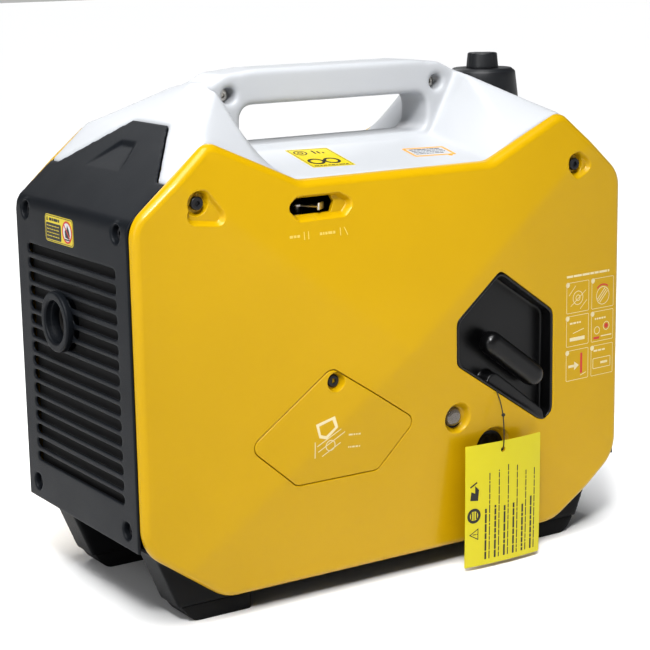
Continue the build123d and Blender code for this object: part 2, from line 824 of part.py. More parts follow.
choke_axis_x, choke_axis_y = -90.0, -96.0
choke_arm = 20.0
choke_rest = 38.0  # degrees from straight out, towards +X
carb_bore = 11.0
carb_low_z, carb_high_z = 270.0, 320.0
carb_mid_z = (carb_low_z + carb_high_z) / 2
shaft_radius = 3.0
tab_thickness = 2.0
finger_height = choke_slot_height - 3.2
arm_plane = Plane(
    origin=(choke_axis_x, choke_axis_y, choke_z - 1),
    x_dir=(sin(radians(choke_rest)), -cos(radians(choke_rest)), 0),
    z_dir=(0, 0, 1),
)
with BuildPart() as choke_lever:
    with BuildSketch(Plane.XY.offset(carb_low_z + 8)):
        with Locations((choke_axis_x, choke_axis_y)):
            Circle(shaft_radius)
    extrude(amount=choke_z - carb_low_z - 7)
    with BuildSketch(arm_plane):
        Circle(6)
        with Locations((choke_arm / 2, 0)):
            Rectangle(choke_arm, 8)
    extrude(amount=tab_thickness)
    with BuildSketch(arm_plane.offset((tab_thickness - finger_height) / 2)):
        with Locations((choke_arm + 1, 0)):
            Rectangle(tab_thickness, 12)
    extrude(amount=finger_height)
    with BuildSketch(Plane(origin=(choke_axis_x, choke_axis_y, carb_mid_z), z_dir=near_out)):
        Circle(carb_bore - 0.6)
    extrude(amount=0.7, both=True)
save(choke_lever.part, "choke_lever")

carb_x = (-116.0, -64.0)
with BuildPart() as carburettor:
    with BuildSketch(Plane.XY.offset(carb_low_z)):
        with Locations(((carb_x[0] + carb_x[1]) / 2, choke_axis_y)):
            RectangleRounded(carb_x[1] - carb_x[0], 30, 5)
    extrude(amount=carb_high_z - carb_low_z)
    with BuildSketch(Plane.YZ.offset(carb_x[0])):
        with Locations((choke_axis_y, carb_mid_z)):
            Circle(carb_bore)
    extrude(amount=carb_x[1] - carb_x[0], mode=Mode.SUBTRACT)
    with BuildSketch(Plane.XY.offset(carb_low_z + 7)):
        with Locations((choke_axis_x, choke_axis_y)):
            Circle(shaft_radius + tight)
    extrude(amount=60, mode=Mode.SUBTRACT)
    with BuildSketch(Plane.XY.offset(carb_low_z - 22)):
        with Locations(((carb_x[0] + carb_x[1]) / 2, choke_axis_y)):
            Circle(14)
    extrude(amount=22)
save(carburettor.part, "carburettor")

# ---- Engine ------------------------------------------------------------------------------
crank_radius = 10.0
case_near_y, case_far_y = -12.0, 74.0
cavity_near_y, cavity_far_y = 2.0, 60.0
case_half = 58.0
cavity_radius = 46.0
bearing_outer = 20.0
bearing_width = 10.0
cylinder_y = 31.0
cylinder_near, cylinder_top = 46.0, 140.0
fin_half = 36.0
tilt = radians(cylinder_tilt)
cylinder_plane = Plane(
    origin=(crank_x, cylinder_y, crank_z), x_dir=(0, 1, 0), z_dir=(-cos(tilt), 0, sin(tilt))
)

with BuildPart() as engine_block:
    with BuildSketch(Plane.XZ.offset(-case_near_y)):
        with Locations((crank_x, crank_z)):
            RectangleRounded(2 * case_half, 2 * case_half, 16)
    extrude(amount=case_near_y - case_far_y)
    with BuildSketch(cylinder_plane.offset(cylinder_near)):
        Rectangle(2 * bore_radius + 14, 2 * bore_radius + 14)
    extrude(amount=cylinder_top - cylinder_near)
    for step in range(9):
        with BuildSketch(cylinder_plane.offset(cylinder_top - 3 - 8 * step)):
            RectangleRounded(2 * fin_half, 2 * fin_half, 6)
        extrude(amount=-2.6)
    with BuildSketch(Plane.XZ.offset(-cavity_near_y)):
        with Locations((crank_x, crank_z)):
            Circle(cavity_radius)
    extrude(amount=cavity_near_y - cavity_far_y, mode=Mode.SUBTRACT)
    with BuildSketch(cylinder_plane):
        Circle(bore_radius)
    extrude(amount=cylinder_top + 1, mode=Mode.SUBTRACT)
    with BuildSketch(Plane.XZ.offset(-case_near_y + 1)):
        with Locations((crank_x, crank_z)):
            Circle(bearing_outer + tight)
    extrude(amount=-bearing_width - 1, mode=Mode.SUBTRACT)
    with BuildSketch(Plane.XZ.offset(-case_far_y - 1)):
        with Locations((crank_x, crank_z)):
            Circle(bearing_outer + tight)
    extrude(amount=bearing_width + 1, mode=Mode.SUBTRACT)
    with BuildSketch(Plane.XZ.offset(-case_near_y + 1)):
        with Locations((crank_x, crank_z)):
            Circle(crank_radius + 2)
    extrude(amount=case_near_y - case_far_y - 2, mode=Mode.SUBTRACT)
save(engine_block.part, "engine_block")

bearings = []
for near in (case_near_y, case_far_y - bearing_width):
    with BuildPart() as bearing:
        with BuildSketch(Plane.XZ.offset(-near)):
            with Locations((crank_x, crank_z)):
                Circle(bearing_outer)
                Circle(crank_radius + tight, mode=Mode.SUBTRACT)
        extrude(amount=-bearing_width)
    bearings.append(bearing.part)
save(Compound(children=bearings), "crank_bearings")

rotor_near_y, rotor_far_y = -58.0, -18.0
rotor_radius = 62.0
crank_near_y, crank_far_y = -76.0, case_far_y + 3
crank_throw = stroke / 2
web_radius = 38.0
with BuildPart() as crankshaft:
    for start, end in ((crank_near_y, 10), (52, crank_far_y)):
        with BuildSketch(Plane.XZ.offset(-start)):
            with Locations((crank_x, crank_z)):
                Circle(crank_radius)
        extrude(amount=start - end)
    for start in (10.0, 42.0):
        with BuildSketch(Plane.XZ.offset(-start)):
            with Locations((crank_x, crank_z)):
                Circle(web_radius)
        extrude(amount=-10)
    with BuildSketch(Plane.XZ.offset(-18)):
        with Locations((crank_x, crank_z + crank_throw)):
            Circle(9)
    extrude(amount=-26)
save(crankshaft.part, "crankshaft")

with BuildPart() as rotor:
    with BuildSketch(Plane.XZ.offset(-rotor_near_y)):
        with Locations((crank_x, crank_z)):
            Circle(rotor_radius)
    extrude(amount=rotor_near_y - rotor_far_y)
    with BuildSketch(Plane.XZ.offset(-rotor_near_y - 5)):
        with Locations((crank_x, crank_z)):
            Circle(rotor_radius - 6)
            Circle(crank_radius + 6, mode=Mode.SUBTRACT)
    extrude(amount=-60, mode=Mode.SUBTRACT)
    with BuildSketch(Plane.XZ.offset(-rotor_near_y)):
        with Locations((crank_x, crank_z)):
            Circle(crank_radius)
    extrude(amount=-60, mode=Mode.SUBTRACT)
save(rotor.part, "rotor")

stator_inner = crank_radius + 6 + 2
with BuildPart() as stator:
    with BuildSketch(Plane.XZ.offset(50)):
        with Locations((crank_x, crank_z)):
            Circle(34)
            Circle(stator_inner, mode=Mode.SUBTRACT)
    extrude(amount=case_near_y - 50 - 2 * case_near_y)
    with BuildSketch(Plane.XZ.offset(48)):
        with Locations((crank_x, crank_z)):
            with PolarLocations(42, 18):
                Rectangle(24, 9)
    extrude(amount=-26)
save(stator.part, "stator")

with BuildPart() as cooling_fan:
    with BuildSketch(Plane.XZ.offset(-rotor_near_y + 4)):
        with Locations((crank_x, crank_z)):
            Circle(64)
            Circle(crank_radius, mode=Mode.SUBTRACT)
    extrude(amount=-4)
    with BuildSketch(Plane.XZ.offset(-rotor_near_y + 4)):
        with Locations((crank_x, crank_z)):
            with PolarLocations(46, 14):
                Rectangle(34, 2.5, rotation=25)
    extrude(amount=12)
    with BuildSketch(Plane.XZ.offset(-rotor_near_y + 4)):
        with Locations((crank_x, crank_z)):
            Circle(crank_radius + 8)
            Circle(crank_radius, mode=Mode.SUBTRACT)
    extrude(amount=12)
save(cooling_fan.part, "cooling_fan")

shroud_near_y, shroud_far_y = housing_depth - housing_back_y, -14.0
with BuildPart() as fan_shroud:
    with BuildSketch(Plane.XZ.offset(-shroud_near_y)):
        with Locations((crank_x, crank_z)):
            Circle(housing_radius + 6)
            Circle(housing_radius - 1, mode=Mode.SUBTRACT)
    extrude(amount=-3)
    with BuildSketch(Plane.XZ.offset(-shroud_near_y - 3)):
        with Locations((crank_x, crank_z)):
            Circle(housing_radius + 6)
            Circle(housing_radius + 3, mode=Mode.SUBTRACT)
    extrude(amount=shroud_near_y + 3 - shroud_far_y)
save(fan_shroud.part, "fan_shroud")

piston_height = 36.0
with BuildPart() as piston:
    with BuildSketch(cylinder_plane.offset(cylinder_top - 4)):
        Circle(bore_radius - tight)
    extrude(amount=-piston_height)
    with BuildSketch(cylinder_plane.offset(cylinder_top - 10)):
        Circle(bore_radius - 4)
    extrude(amount=-piston_height, mode=Mode.SUBTRACT)
    for depth in (4, 8):
        with BuildSketch(cylinder_plane.offset(cylinder_top - 4 - depth)):
            Circle(bore_radius + 1)
            Circle(bore_radius - 1.5, mode=Mode.SUBTRACT)
        extrude(amount=-1.5, mode=Mode.SUBTRACT)
save(piston.part, "piston")

head_depth = 26.0
with BuildPart() as cylinder_head:
    with BuildSketch(cylinder_plane.offset(cylinder_top)):
        RectangleRounded(2 * fin_half, 2 * fin_half, 6)
    extrude(amount=head_depth)
    with BuildSketch(cylinder_plane.offset(cylinder_top)):
        Circle(bore_radius - 2)
    extrude(amount=5, mode=Mode.SUBTRACT)
    plug_hole = Plane(origin=cylinder_plane.offset(cylinder_top + 13).origin, z_dir=(0, 1, 0))
    with BuildSketch(plug_hole.offset(fin_half + 1)):
        Circle(5 + tight)
    extrude(amount=-22, mode=Mode.SUBTRACT)
save(cylinder_head.part, "cylinder_head")

with BuildPart() as rocker_cover:
    with BuildSketch(cylinder_plane.offset(cylinder_top + head_depth)):
        RectangleRounded(2 * fin_half - 6, 2 * fin_half - 6, 10)
    extrude(amount=22, taper=6)
    fillet(rocker_cover.faces().sort_by(Axis(cylinder_plane.origin, cylinder_plane.z_dir))[-1]
           .edges(), 4)
save(rocker_cover.part, "rocker_cover")

with BuildPart() as spark_plug:
    with BuildSketch(plug_hole.offset(fin_half + 1)):
        Circle(5)
    extrude(amount=-20)
    with BuildSketch(plug_hole.offset(fin_half + 1)):
        RegularPolygon(8, 6)
    extrude(amount=7)
    with BuildSketch(plug_hole.offset(fin_half + 8)):
        Circle(4.5)
    extrude(amount=16)
save(spark_plug.part, "spark_plug")

with BuildPart() as ignition_coil:
    with BuildSketch(Plane.XZ.offset(46)):
        with Locations((crank_x, crank_z + rotor_radius + 5.4)):
            Rectangle(30, 7)
    extrude(amount=-18)
save(ignition_coil.part, "ignition_coil")

# ---- Fuel system -------------------------------------------------------------------------
tank_x = (24.0, 222.0)
tank_half_width = 95.0
tank_z = (242.0, 336.0)
tank_wall = 3.0
neck_radius = 22.0
neck_top_z = 402.0
with BuildPart() as fuel_tank:
    with BuildSketch(Plane.XY.offset(tank_z[0])):
        with Locations(((tank_x[0] + tank_x[1]) / 2, 0)):
            RectangleRounded(tank_x[1] - tank_x[0], 2 * tank_half_width, 24)
    extrude(amount=tank_z[1] - tank_z[0])
    with BuildSketch(Plane.XY.offset(tank_z[1] - 1)):
        with Locations((cap_x, 0)):
            Circle(neck_radius)
    extrude(amount=neck_top_z - tank_z[1] + 1)
    with BuildSketch(Plane.XY.offset(tank_z[0] + tank_wall)):
        with Locations(((tank_x[0] + tank_x[1]) / 2, 0)):
            RectangleRounded(
                tank_x[1] - tank_x[0] - 2 * tank_wall, 2 * (tank_half_width - tank_wall), 21
            )
    extrude(amount=tank_z[1] - tank_z[0] - 2 * tank_wall, mode=Mode.SUBTRACT)
    with BuildSketch(Plane.XY.offset(tank_z[1] - 2 * tank_wall)):
        with Locations((cap_x, 0)):
            Circle(neck_radius - 2)
    extrude(amount=100, mode=Mode.SUBTRACT)
    with BuildSketch(Plane.XY.offset(tank_z[0] - 14)):
        with Locations((40, -80)):
            Circle(4)
    extrude(amount=14)
save(fuel_tank.part, "fuel_tank")

strainer_depth = 60.0
with BuildPart() as fuel_strainer:
    with BuildSketch(Plane.XY.offset(neck_top_z)):
        with Locations((cap_x, 0)):
            Circle(neck_radius)
    extrude(amount=1.5)
    with BuildSketch(Plane.XY.offset(neck_top_z)):
        with Locations((cap_x, 0)):
            Circle(neck_radius - 2.5)
    extrude(amount=-strainer_depth)
    with BuildSketch(Plane.XY.offset(neck_top_z + 2)):
        with Locations((cap_x, 0)):
            Circle(neck_radius - 4)
    extrude(amount=-strainer_depth, mode=Mode.SUBTRACT)
save(fuel_strainer.part, "fuel_strainer")

cap_body_z = (400.0, 432.0)
with BuildPart() as fuel_cap:
    with BuildSketch(Plane.XZ):
        with BuildLine():
            Polyline(
                (cap_x, cap_body_z[0]),
                (cap_x + cap_radius, cap_body_z[0]),
                (cap_x + cap_radius - 3.5, cap_body_z[1] - 3),
                (cap_x + cap_radius - 7, cap_body_z[1]),
                (cap_x, cap_body_z[1]),
                close=True,
            )
        make_face()
    revolve(axis=Axis((cap_x, 0, 0), (0, 0, 1)))
    with BuildSketch(Plane.XY.offset(cap_body_z[0])):
        with Locations((cap_x, 0)):
            with PolarLocations(cap_radius + 6.5, 9):
                Circle(9)
    extrude(amount=cap_body_z[1] - cap_body_z[0] - 5, taper=4, mode=Mode.SUBTRACT)
    with BuildSketch(Plane.XY.offset(cap_body_z[0])):
        with Locations((cap_x, 0)):
            Circle(neck_radius + 4)
    extrude(amount=14, mode=Mode.SUBTRACT)
    with BuildSketch(Plane.XY.offset(cap_body_z[1] - 10)):
        with Locations((cap_x, 0)):
            Circle(4 + tight)
    extrude(amount=20, mode=Mode.SUBTRACT)
save(fuel_cap.part, "fuel_cap")

with BuildPart() as cap_insert:
    with BuildSketch(Plane.XY.offset(neck_top_z + 1.5)):
        with Locations((cap_x, 0)):
            Circle(neck_radius + 3)
    extrude(amount=cap_body_z[0] + 14 - neck_top_z - 1.5 - loose)
save(cap_insert.part, "cap_insert")

knob_top_z = 446.0
with BuildPart() as vent_knob:
    with BuildSketch(Plane.XY.offset(cap_body_z[1] + loose)):
        with Locations((cap_x, 0)):
            Circle(15)
            with PolarLocations(16.5, 3, start_angle=-70):
                Circle(4.5, mode=Mode.SUBTRACT)
    extrude(amount=knob_top_z - cap_body_z[1] - loose, taper=6)
    fillet(vent_knob.faces().sort_by(Axis.Z)[-1].edges(), 1.2)
    with BuildSketch(Plane.XY.offset(cap_body_z[1] - 9.5)):
        with Locations((cap_x, 0)):
            Circle(4)
    extrude(amount=10)
save(vent_knob.part, "vent_knob")

collar_low_z = 366.0
with BuildPart() as cap_collar:
    with BuildSketch(Plane.XY.offset(collar_low_z)):
        with Locations((cap_x, 0)):
            Circle(neck_hole_radius - loose)
            Circle(neck_radius + 1, mode=Mode.SUBTRACT)
    extrude(amount=cap_seat_z - collar_low_z)
    with BuildSketch(Plane.XY.offset(collar_low_z)):
        with Locations((cap_x, 0)):
            Circle(neck_hole_radius - loose - 2.5)
            Circle(neck_radius + 3.5, mode=Mode.SUBTRACT)
    extrude(amount=cap_seat_z - collar_low_z - 3, mode=Mode.SUBTRACT)
save(cap_collar.part, "cap_collar")

# ---- Air filter and ducts ----------------------------------------------------------------
airbox_x = (-152.0, 2.0)
airbox_y = (-102.0, -52.0)
airbox_z = (112.0, 196.0)
airbox_wall = 2.5
airbox_center = ((airbox_x[0] + airbox_x[1]) / 2, (airbox_y[0] + airbox_y[1]) / 2)
intake_x = -132.0


def duct(path_points, radius, bend, wall):
    """A round hollow duct along straight runs joined by arcs."""
    with BuildPart() as tube:
        with BuildLine() as path:
            FilletPolyline(*path_points, radius=bend)
        start = Plane(origin=path.line @ 0, z_dir=path.line % 0)
        with BuildSketch(start):
            Circle(radius)
            Circle(radius - wall, mode=Mode.SUBTRACT)
        sweep()
    return tube.part


intake_duct = duct(
    [
        (intake_x, choke_axis_y + 10, airbox_z[1] - 1),
        (intake_x, choke_axis_y + 10, carb_mid_z - 34),
        (intake_x, choke_axis_y, carb_mid_z),
        (carb_x[0], choke_axis_y, carb_mid_z),
    ],
    12, 12, 2,
)
with BuildPart() as air_filter_box:
    with BuildSketch(Plane.XY.offset(airbox_z[0])):
        with Locations(airbox_center):
            RectangleRounded(airbox_x[1] - airbox_x[0], airbox_y[1] - airbox_y[0], 8)
    extrude(amount=airbox_z[1] - airbox_z[0])
    with BuildSketch(Plane.XY.offset(airbox_z[0] + airbox_wall)):
        with Locations(airbox_center):
            RectangleRounded(
                airbox_x[1] - airbox_x[0] - 2 * airbox_wall,
                airbox_y[1] - airbox_y[0] - 2 * airbox_wall,
                6,
            )
    extrude(amount=airbox_z[1] - airbox_z[0] - 2 * airbox_wall, mode=Mode.SUBTRACT)
    add(intake_duct)
save(air_filter_box.part, "air_filter_box")

with BuildPart() as air_filter:
    with BuildSketch(Plane.XY.offset(airbox_z[0] + airbox_wall + loose)):
        with Locations(airbox_center):
            RectangleRounded(
                airbox_x[1] - airbox_x[0] - 2 * (airbox_wall + loose),
                airbox_y[1] - airbox_y[0] - 22,
                5,
            )
    extrude(amount=airbox_z[1] - airbox_z[0] - 2 * (airbox_wall + loose))
save(air_filter.part, "air_filter")


head_middle = cylinder_plane.offset(cylinder_top + head_depth / 2).origin
save(
    duct(
        [
            (carb_x[1], choke_axis_y, carb_mid_z),
            (-38, choke_axis_y, carb_mid_z),
            (head_middle.X, -40, head_middle.Z),
            (head_middle.X, cylinder_y - fin_half, head_middle.Z),
        ],
        12, 16, 2,
    ),
    "intake_manifold",
)

# ---- Exhaust -----------------------------------------------------------------------------
muffler_x = (-238.0, -142.0)
muffler_y = (-50.0, 86.0)
muffler_z = (172.0, 300.0)
port_down = Vector(-sin(tilt), 0, -cos(tilt))
port = head_middle + port_down * fin_half
pipe_bend = port + port_down * 30
header = duct(
    [
        tuple(port),
        tuple(pipe_bend),
        (-122, cylinder_y, 126),
        (-122, cylinder_y, 212),
        (muffler_x[1] - 1, cylinder_y, 212),
    ],
    10, 14, 1.6,
)
with BuildPart() as muffler:
    with BuildSketch(Plane.YZ.offset(muffler_x[0])):
        with Locations(((muffler_y[0] + muffler_y[1]) / 2, (muffler_z[0] + muffler_z[1]) / 2)):
            RectangleRounded(muffler_y[1] - muffler_y[0], muffler_z[1] - muffler_z[0], 30)
    extrude(amount=muffler_x[1] - muffler_x[0])
    fillet(muffler.faces().filter_by(Axis.X).edges(), 8)
    with BuildSketch(Plane.YZ.offset(muffler_x[0] + 4)):
        with Locations((outlet_y, outlet_z)):
            Circle(15)
    extrude(amount=-end_x - muffler_x[0] + 2)
    with BuildSketch(Plane.YZ.offset(-end_x - 1)):
        with Locations((outlet_y, outlet_z)):
            Circle(12.5)
    extrude(amount=40, mode=Mode.SUBTRACT)
    add(header)
save(muffler.part, "muffler")

ring_x = 258.0
with BuildPart() as exhaust_ring:
    with BuildSketch(Plane.YZ.offset(-ring_x)):
        with Locations((outlet_y, outlet_z)):
            Circle(outlet_radius)
            Circle(outlet_hole_radius - 1.5, mode=Mode.SUBTRACT)
    extrude(amount=ring_x - end_x)
    with BuildSketch(Plane.YZ.offset(-end_x)):
        with Locations((outlet_y, outlet_z)):
            Circle(outlet_hole_radius - loose)
            Circle(outlet_hole_radius - 2.5, mode=Mode.SUBTRACT)
    extrude(amount=9)
    fillet(exhaust_ring.faces().sort_by(Axis.X)[0].edges(), 2)
save(exhaust_ring.part, "exhaust_ring")

# ---- Electrics ---------------------------------------------------------------------------
inverter_x = (-168.0, 22.0)
inverter_y = (-64.0, 92.0)
inverter_z = (29.0, 78.0)
with BuildPart() as inverter_module:
    with BuildSketch(Plane.XY.offset(inverter_z[0])):
        with Locations(((inverter_x[0] + inverter_x[1]) / 2, (inverter_y[0] + inverter_y[1]) / 2)):
            RectangleRounded(inverter_x[1] - inverter_x[0], inverter_y[1] - inverter_y[0], 6)
    extrude(amount=inverter_z[1] - inverter_z[0])
    with BuildSketch(Plane.XY.offset(inverter_z[1] - 12)):
        with Locations(((inverter_x[0] + inverter_x[1]) / 2, (inverter_y[0] + inverter_y[1]) / 2)):
            with GridLocations(0, 9, 1, 16):
                Rectangle(inverter_x[1] - inverter_x[0] + 2, 5)
    extrude(amount=14, mode=Mode.SUBTRACT)
save(inverter_module.part, "inverter_module")

mounts = []
for x in mount_x:
    for y in mount_y:
        with BuildPart() as rubber:
            with BuildSketch(Plane.XY.offset(mount_low_z)):
                with Locations((x, y)):
                    Circle(12)
            extrude(amount=crank_z - case_half - mount_low_z)
            with BuildSketch(Plane.XY.offset(mount_low_z + 10)):
                with Locations((x, y)):
                    Circle(13)
                    Circle(9.5, mode=Mode.SUBTRACT)
            extrude(amount=5, mode=Mode.SUBTRACT)
        mounts.append(rubber.part)
save(Compound(children=mounts), "engine_mounts")

# Control panel, facing +X.
console_face_x = end_x - cover_wall
console_thickness = 3.0
socket_spots = [(-6.0, 146.0), (54.0, 146.0)]
socket_half = 25.0
lid_thickness = 2.6
knob_spot = (-54.0, 254.0)
eco_spot = (8.0, 254.0)
breaker_spot = (54.0, 254.0)
dc_spot = (-56.0, 150.0)
lamp_spots = [(-14.0, 214.0), (6.0, 214.0), (26.0, 214.0)]
plate_back = Plane.YZ.offset(console_face_x - console_thickness)
plate_face = Plane.YZ.offset(console_face_x)

with BuildPart() as control_panel:
    with BuildSketch(plate_back):
        with Locations((0, (console_low_z + console_high_z) / 2)):
            RectangleRounded(2 * console_y - 4, console_high_z - console_low_z + 6, 8)
    extrude(amount=console_thickness)
    with BuildSketch(plate_back):
        with Locations(*socket_spots):
            Rectangle(2 * socket_half - 8, 2 * socket_half - 8)
        with Locations(dc_spot):
            Circle(11)
        with Locations(*lamp_spots):
            Circle(3)
        with Locations(knob_spot):
            Circle(4 + tight)
        with Locations(breaker_spot):
            Circle(5)
    extrude(amount=console_thickness, mode=Mode.SUBTRACT)
    with BuildSketch(plate_back.offset(-8)):
        with Locations(eco_spot):
            Rectangle(17, 23)
    extrude(amount=console_thickness + 8)
    with BuildSketch(plate_face):
        with Locations(eco_spot):
            Rectangle(21, 27)
    extrude(amount=2)
    with BuildSketch(plate_back.offset(-9)):
        with Locations(eco_spot):
            Rectangle(13, 19)
    extrude(amount=20, mode=Mode.SUBTRACT)
save(control_panel.part, "control_panel")

hinge_x = console_face_x + 5.6
outlets = []
for index, (y, z) in enumerate(socket_spots, start=1):
    with BuildPart() as outlet:
        with BuildSketch(plate_face):
            with Locations((y, z)):
                RectangleRounded(2 * socket_half, 2 * socket_half, 4)
        extrude(amount=3)
        with BuildSketch(plate_face):
            with Locations((y, z)):
                Rectangle(2 * socket_half - 8 - 2 * loose, 2 * socket_half - 8 - 2 * loose)
        extrude(amount=-26)
        with BuildSketch(plate_face.offset(4)):
            with Locations((y, z)):
                Circle(19)
        extrude(amount=-18, mode=Mode.SUBTRACT)
        with BuildSketch(plate_face.offset(-13)):
            with Locations((y - 9.5, z), (y + 9.5, z)):
                Circle(2.6)
        extrude(amount=-10, mode=Mode.SUBTRACT)
        with BuildSketch(plate_face):
            with Locations((y - 15.5, z + socket_half - 3), (y + 15.5, z + socket_half - 3)):
                Rectangle(5, 4.4)
        extrude(amount=hinge_x - console_face_x)
        with BuildSketch(Plane.XZ.offset(-y - 18)):
            with Locations((hinge_x, z + socket_half - 3)):
                Circle(2.2)
        extrude(amount=5)
        with BuildSketch(Plane.XZ.offset(-y + 13)):
            with Locations((hinge_x, z + socket_half - 3)):
                Circle(2.2)
        extrude(amount=5)
    outlets.append(outlet.part)
    with BuildPart() as lid:
        with BuildSketch(plate_face.offset(3 + loose)):
            with Locations((y, z - 3)):
                RectangleRounded(2 * socket_half - 2, 2 * socket_half - 8, 4)
        extrude(amount=lid_thickness)
        with BuildSketch(Plane.XZ.offset(-y - 12.6)):
            with Locations((hinge_x, z + socket_half - 3)):
                Circle(2.2)
        extrude(amount=25.2)
        with BuildSketch(plate_face.offset(3 + loose)):
            with Locations((y, z + socket_half - 6)):
                Rectangle(24, 4)
        extrude(amount=lid_thickness)
    save(lid.part, f"outlet_lid_{index}")
save(Compound(children=outlets), "ac_outlets")

with BuildPart() as dc_socket:
    with BuildSketch(plate_face):
        with Locations(dc_spot):
            Circle(15)
            Circle(8, mode=Mode.SUBTRACT)
    extrude(amount=3)
    with BuildSketch(plate_face):
        with Locations(dc_spot):
            Circle(11 - loose)
            Circle(8, mode=Mode.SUBTRACT)
    extrude(amount=-20)
save(dc_socket.part, "dc_socket")

lamps = []
for spot in lamp_spots:
    with BuildPart() as lamp:
        with BuildSketch(plate_face):
            with Locations(spot):
                Circle(4)
        extrude(amount=2)
        fillet(lamp.faces().sort_by(Axis.X)[-1].edges(), 1.5)
        with BuildSketch(plate_face):
            with Locations(spot):
                Circle(3 - loose)
        extrude(amount=-8)
    lamps.append(lamp.part)
save(Compound(children=lamps), "indicator_lamps")

knob_height = ring_x - console_face_x - loose
with BuildPart() as engine_switch:
    with BuildSketch(plate_face.offset(loose)):
        with Locations(knob_spot):
            Circle(20)
    extrude(amount=knob_height)
    with BuildSketch(plate_face.offset(loose + 3)):
        with Locations((knob_spot[0] - 14, knob_spot[1]), (knob_spot[0] + 14, knob_spot[1])):
            Rectangle(18, 44)
    extrude(amount=knob_height, mode=Mode.SUBTRACT)
    with BuildSketch(plate_face.offset(loose)):
        with Locations(knob_spot):
            Circle(4)
    extrude(amount=-16)
save(engine_switch.part, "engine_switch")

rocker_pivot_x = console_face_x - 4
with BuildPart() as eco_rocker:
    with BuildSketch(Plane.XZ.offset(-eco_spot[0] - 6)):
        with BuildLine():
            Polyline(
                (console_face_x + 3.4, eco_spot[1] - 7),
                (console_face_x + 1.6, eco_spot[1]),
                (console_face_x + 1.0, eco_spot[1] + 7),
                (rocker_pivot_x - 3, eco_spot[1] + 5),
                (rocker_pivot_x - 3, eco_spot[1] - 5),
                close=True,
            )
        make_face()
    extrude(amount=12)
    with BuildSketch(Plane.XZ.offset(-eco_spot[0] - 6.3)):
        with Locations((rocker_pivot_x, eco_spot[1])):
            Circle(1.5)
    extrude(amount=12.6)
save(eco_rocker.part, "eco_rocker")

button_travel = 2.0
with BuildPart() as breaker_button:
    with BuildSketch(plate_face.offset(-8)):
        with Locations(breaker_spot):
            Circle(5 - 0.1)
    extrude(amount=8 + 2 + button_travel)
    fillet(breaker_button.faces().sort_by(Axis.X)[-1].edges(), 1)
save(breaker_button.part, "breaker_button")

# ---- Hang tag ----------------------------------------------------------------------------
tag_y = 137.0
tag_thickness = 0.8
with BuildPart() as hang_tag:
    with BuildSketch(Plane.XZ.offset(tag_y)):
        with Locations(((54 + 138) / 2, 60)):
            Rectangle(84, 112)
        with Locations((94, 108)):
            Circle(2.5, mode=Mode.SUBTRACT)
    extrude(amount=tag_thickness)
save(hang_tag.part, "hang_tag")

string_route = [
    (94.0, -tag_y + 0.9, 105.0),
    (94.6, -tag_y + 1.0, 120.0),
    (94.2, -tag_y + 2.4, 136.0),
    (92.8, -tag_y + 7.0, 150.0),
    (92.2, facet_y(92, 154) - 0.3, 157.0),
]
with BuildPart() as tag_string:
    with BuildLine() as string_path:
        FilletPolyline(*string_route, radius=[60, 50, 14])
    with BuildSketch(Plane(origin=string_path.line @ 0, z_dir=string_path.line % 0)):
        Circle(0.5)
    sweep()
save(tag_string.part, "tag_string")
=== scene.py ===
"""Portable inverter generator: the detailed visual model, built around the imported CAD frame."""

from math import atan2, cos, hypot, pi, radians, sin

import bmesh
import bpy
import numpy as np
from mathutils import Matrix, Vector
from mathutils.bvhtree import BVHTree
from mathutils.geometry import delaunay_2d_cdt


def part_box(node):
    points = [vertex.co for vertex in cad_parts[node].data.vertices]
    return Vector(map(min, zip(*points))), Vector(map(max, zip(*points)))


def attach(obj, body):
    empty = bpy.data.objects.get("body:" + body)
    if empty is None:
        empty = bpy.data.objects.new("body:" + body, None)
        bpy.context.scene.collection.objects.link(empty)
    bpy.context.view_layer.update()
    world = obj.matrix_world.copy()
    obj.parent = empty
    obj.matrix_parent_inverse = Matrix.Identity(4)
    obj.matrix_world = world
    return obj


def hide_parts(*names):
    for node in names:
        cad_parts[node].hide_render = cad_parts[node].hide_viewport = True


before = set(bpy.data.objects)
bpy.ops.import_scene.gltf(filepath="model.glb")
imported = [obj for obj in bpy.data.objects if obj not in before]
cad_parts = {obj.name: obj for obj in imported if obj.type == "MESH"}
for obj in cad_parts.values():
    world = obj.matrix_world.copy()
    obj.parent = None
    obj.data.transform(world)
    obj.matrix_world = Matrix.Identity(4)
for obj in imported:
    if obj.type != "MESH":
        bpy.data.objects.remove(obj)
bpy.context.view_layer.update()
MM = 0.001
WELD_DISTANCE = 0.01 * MM  # vertices nearer than this are one
rng = np.random.default_rng(7)  # lengths of the strokes that stand for print


# ---- Camera ------------------------------------------------------------------------------
def place_camera(position, azimuth, elevation, roll, lens):
    """A camera at position (m) that looks back along azimuth and elevation (degrees), with a
    lens (mm) on a full-frame sensor."""
    a, e, r = radians(azimuth), radians(elevation), radians(roll)
    back = Vector((sin(a) * cos(e), -cos(a) * cos(e), sin(e)))
    right = (-back).cross(Vector((0, 0, 1))).normalized()
    up = right.cross(-back)
    right, up = right * cos(r) + up * sin(r), -right * sin(r) + up * cos(r)
    data = bpy.data.cameras.new("camera")
    data.sensor_width = 36.0
    data.lens = lens
    data.clip_end = 50.0
    camera = bpy.data.objects.new("camera", data)
    camera.matrix_world = Matrix.Translation(position) @ Matrix(
        ((right.x, up.x, back.x), (right.y, up.y, back.y), (right.z, up.z, back.z))
    ).to_4x4()
    bpy.context.scene.collection.objects.link(camera)
    bpy.context.scene.camera = camera


place_camera(position=(-0.8762, -1.3593, 0.55305), azimuth=-32.73, elevation=12.0,
             roll=-1.01, lens=100.878)


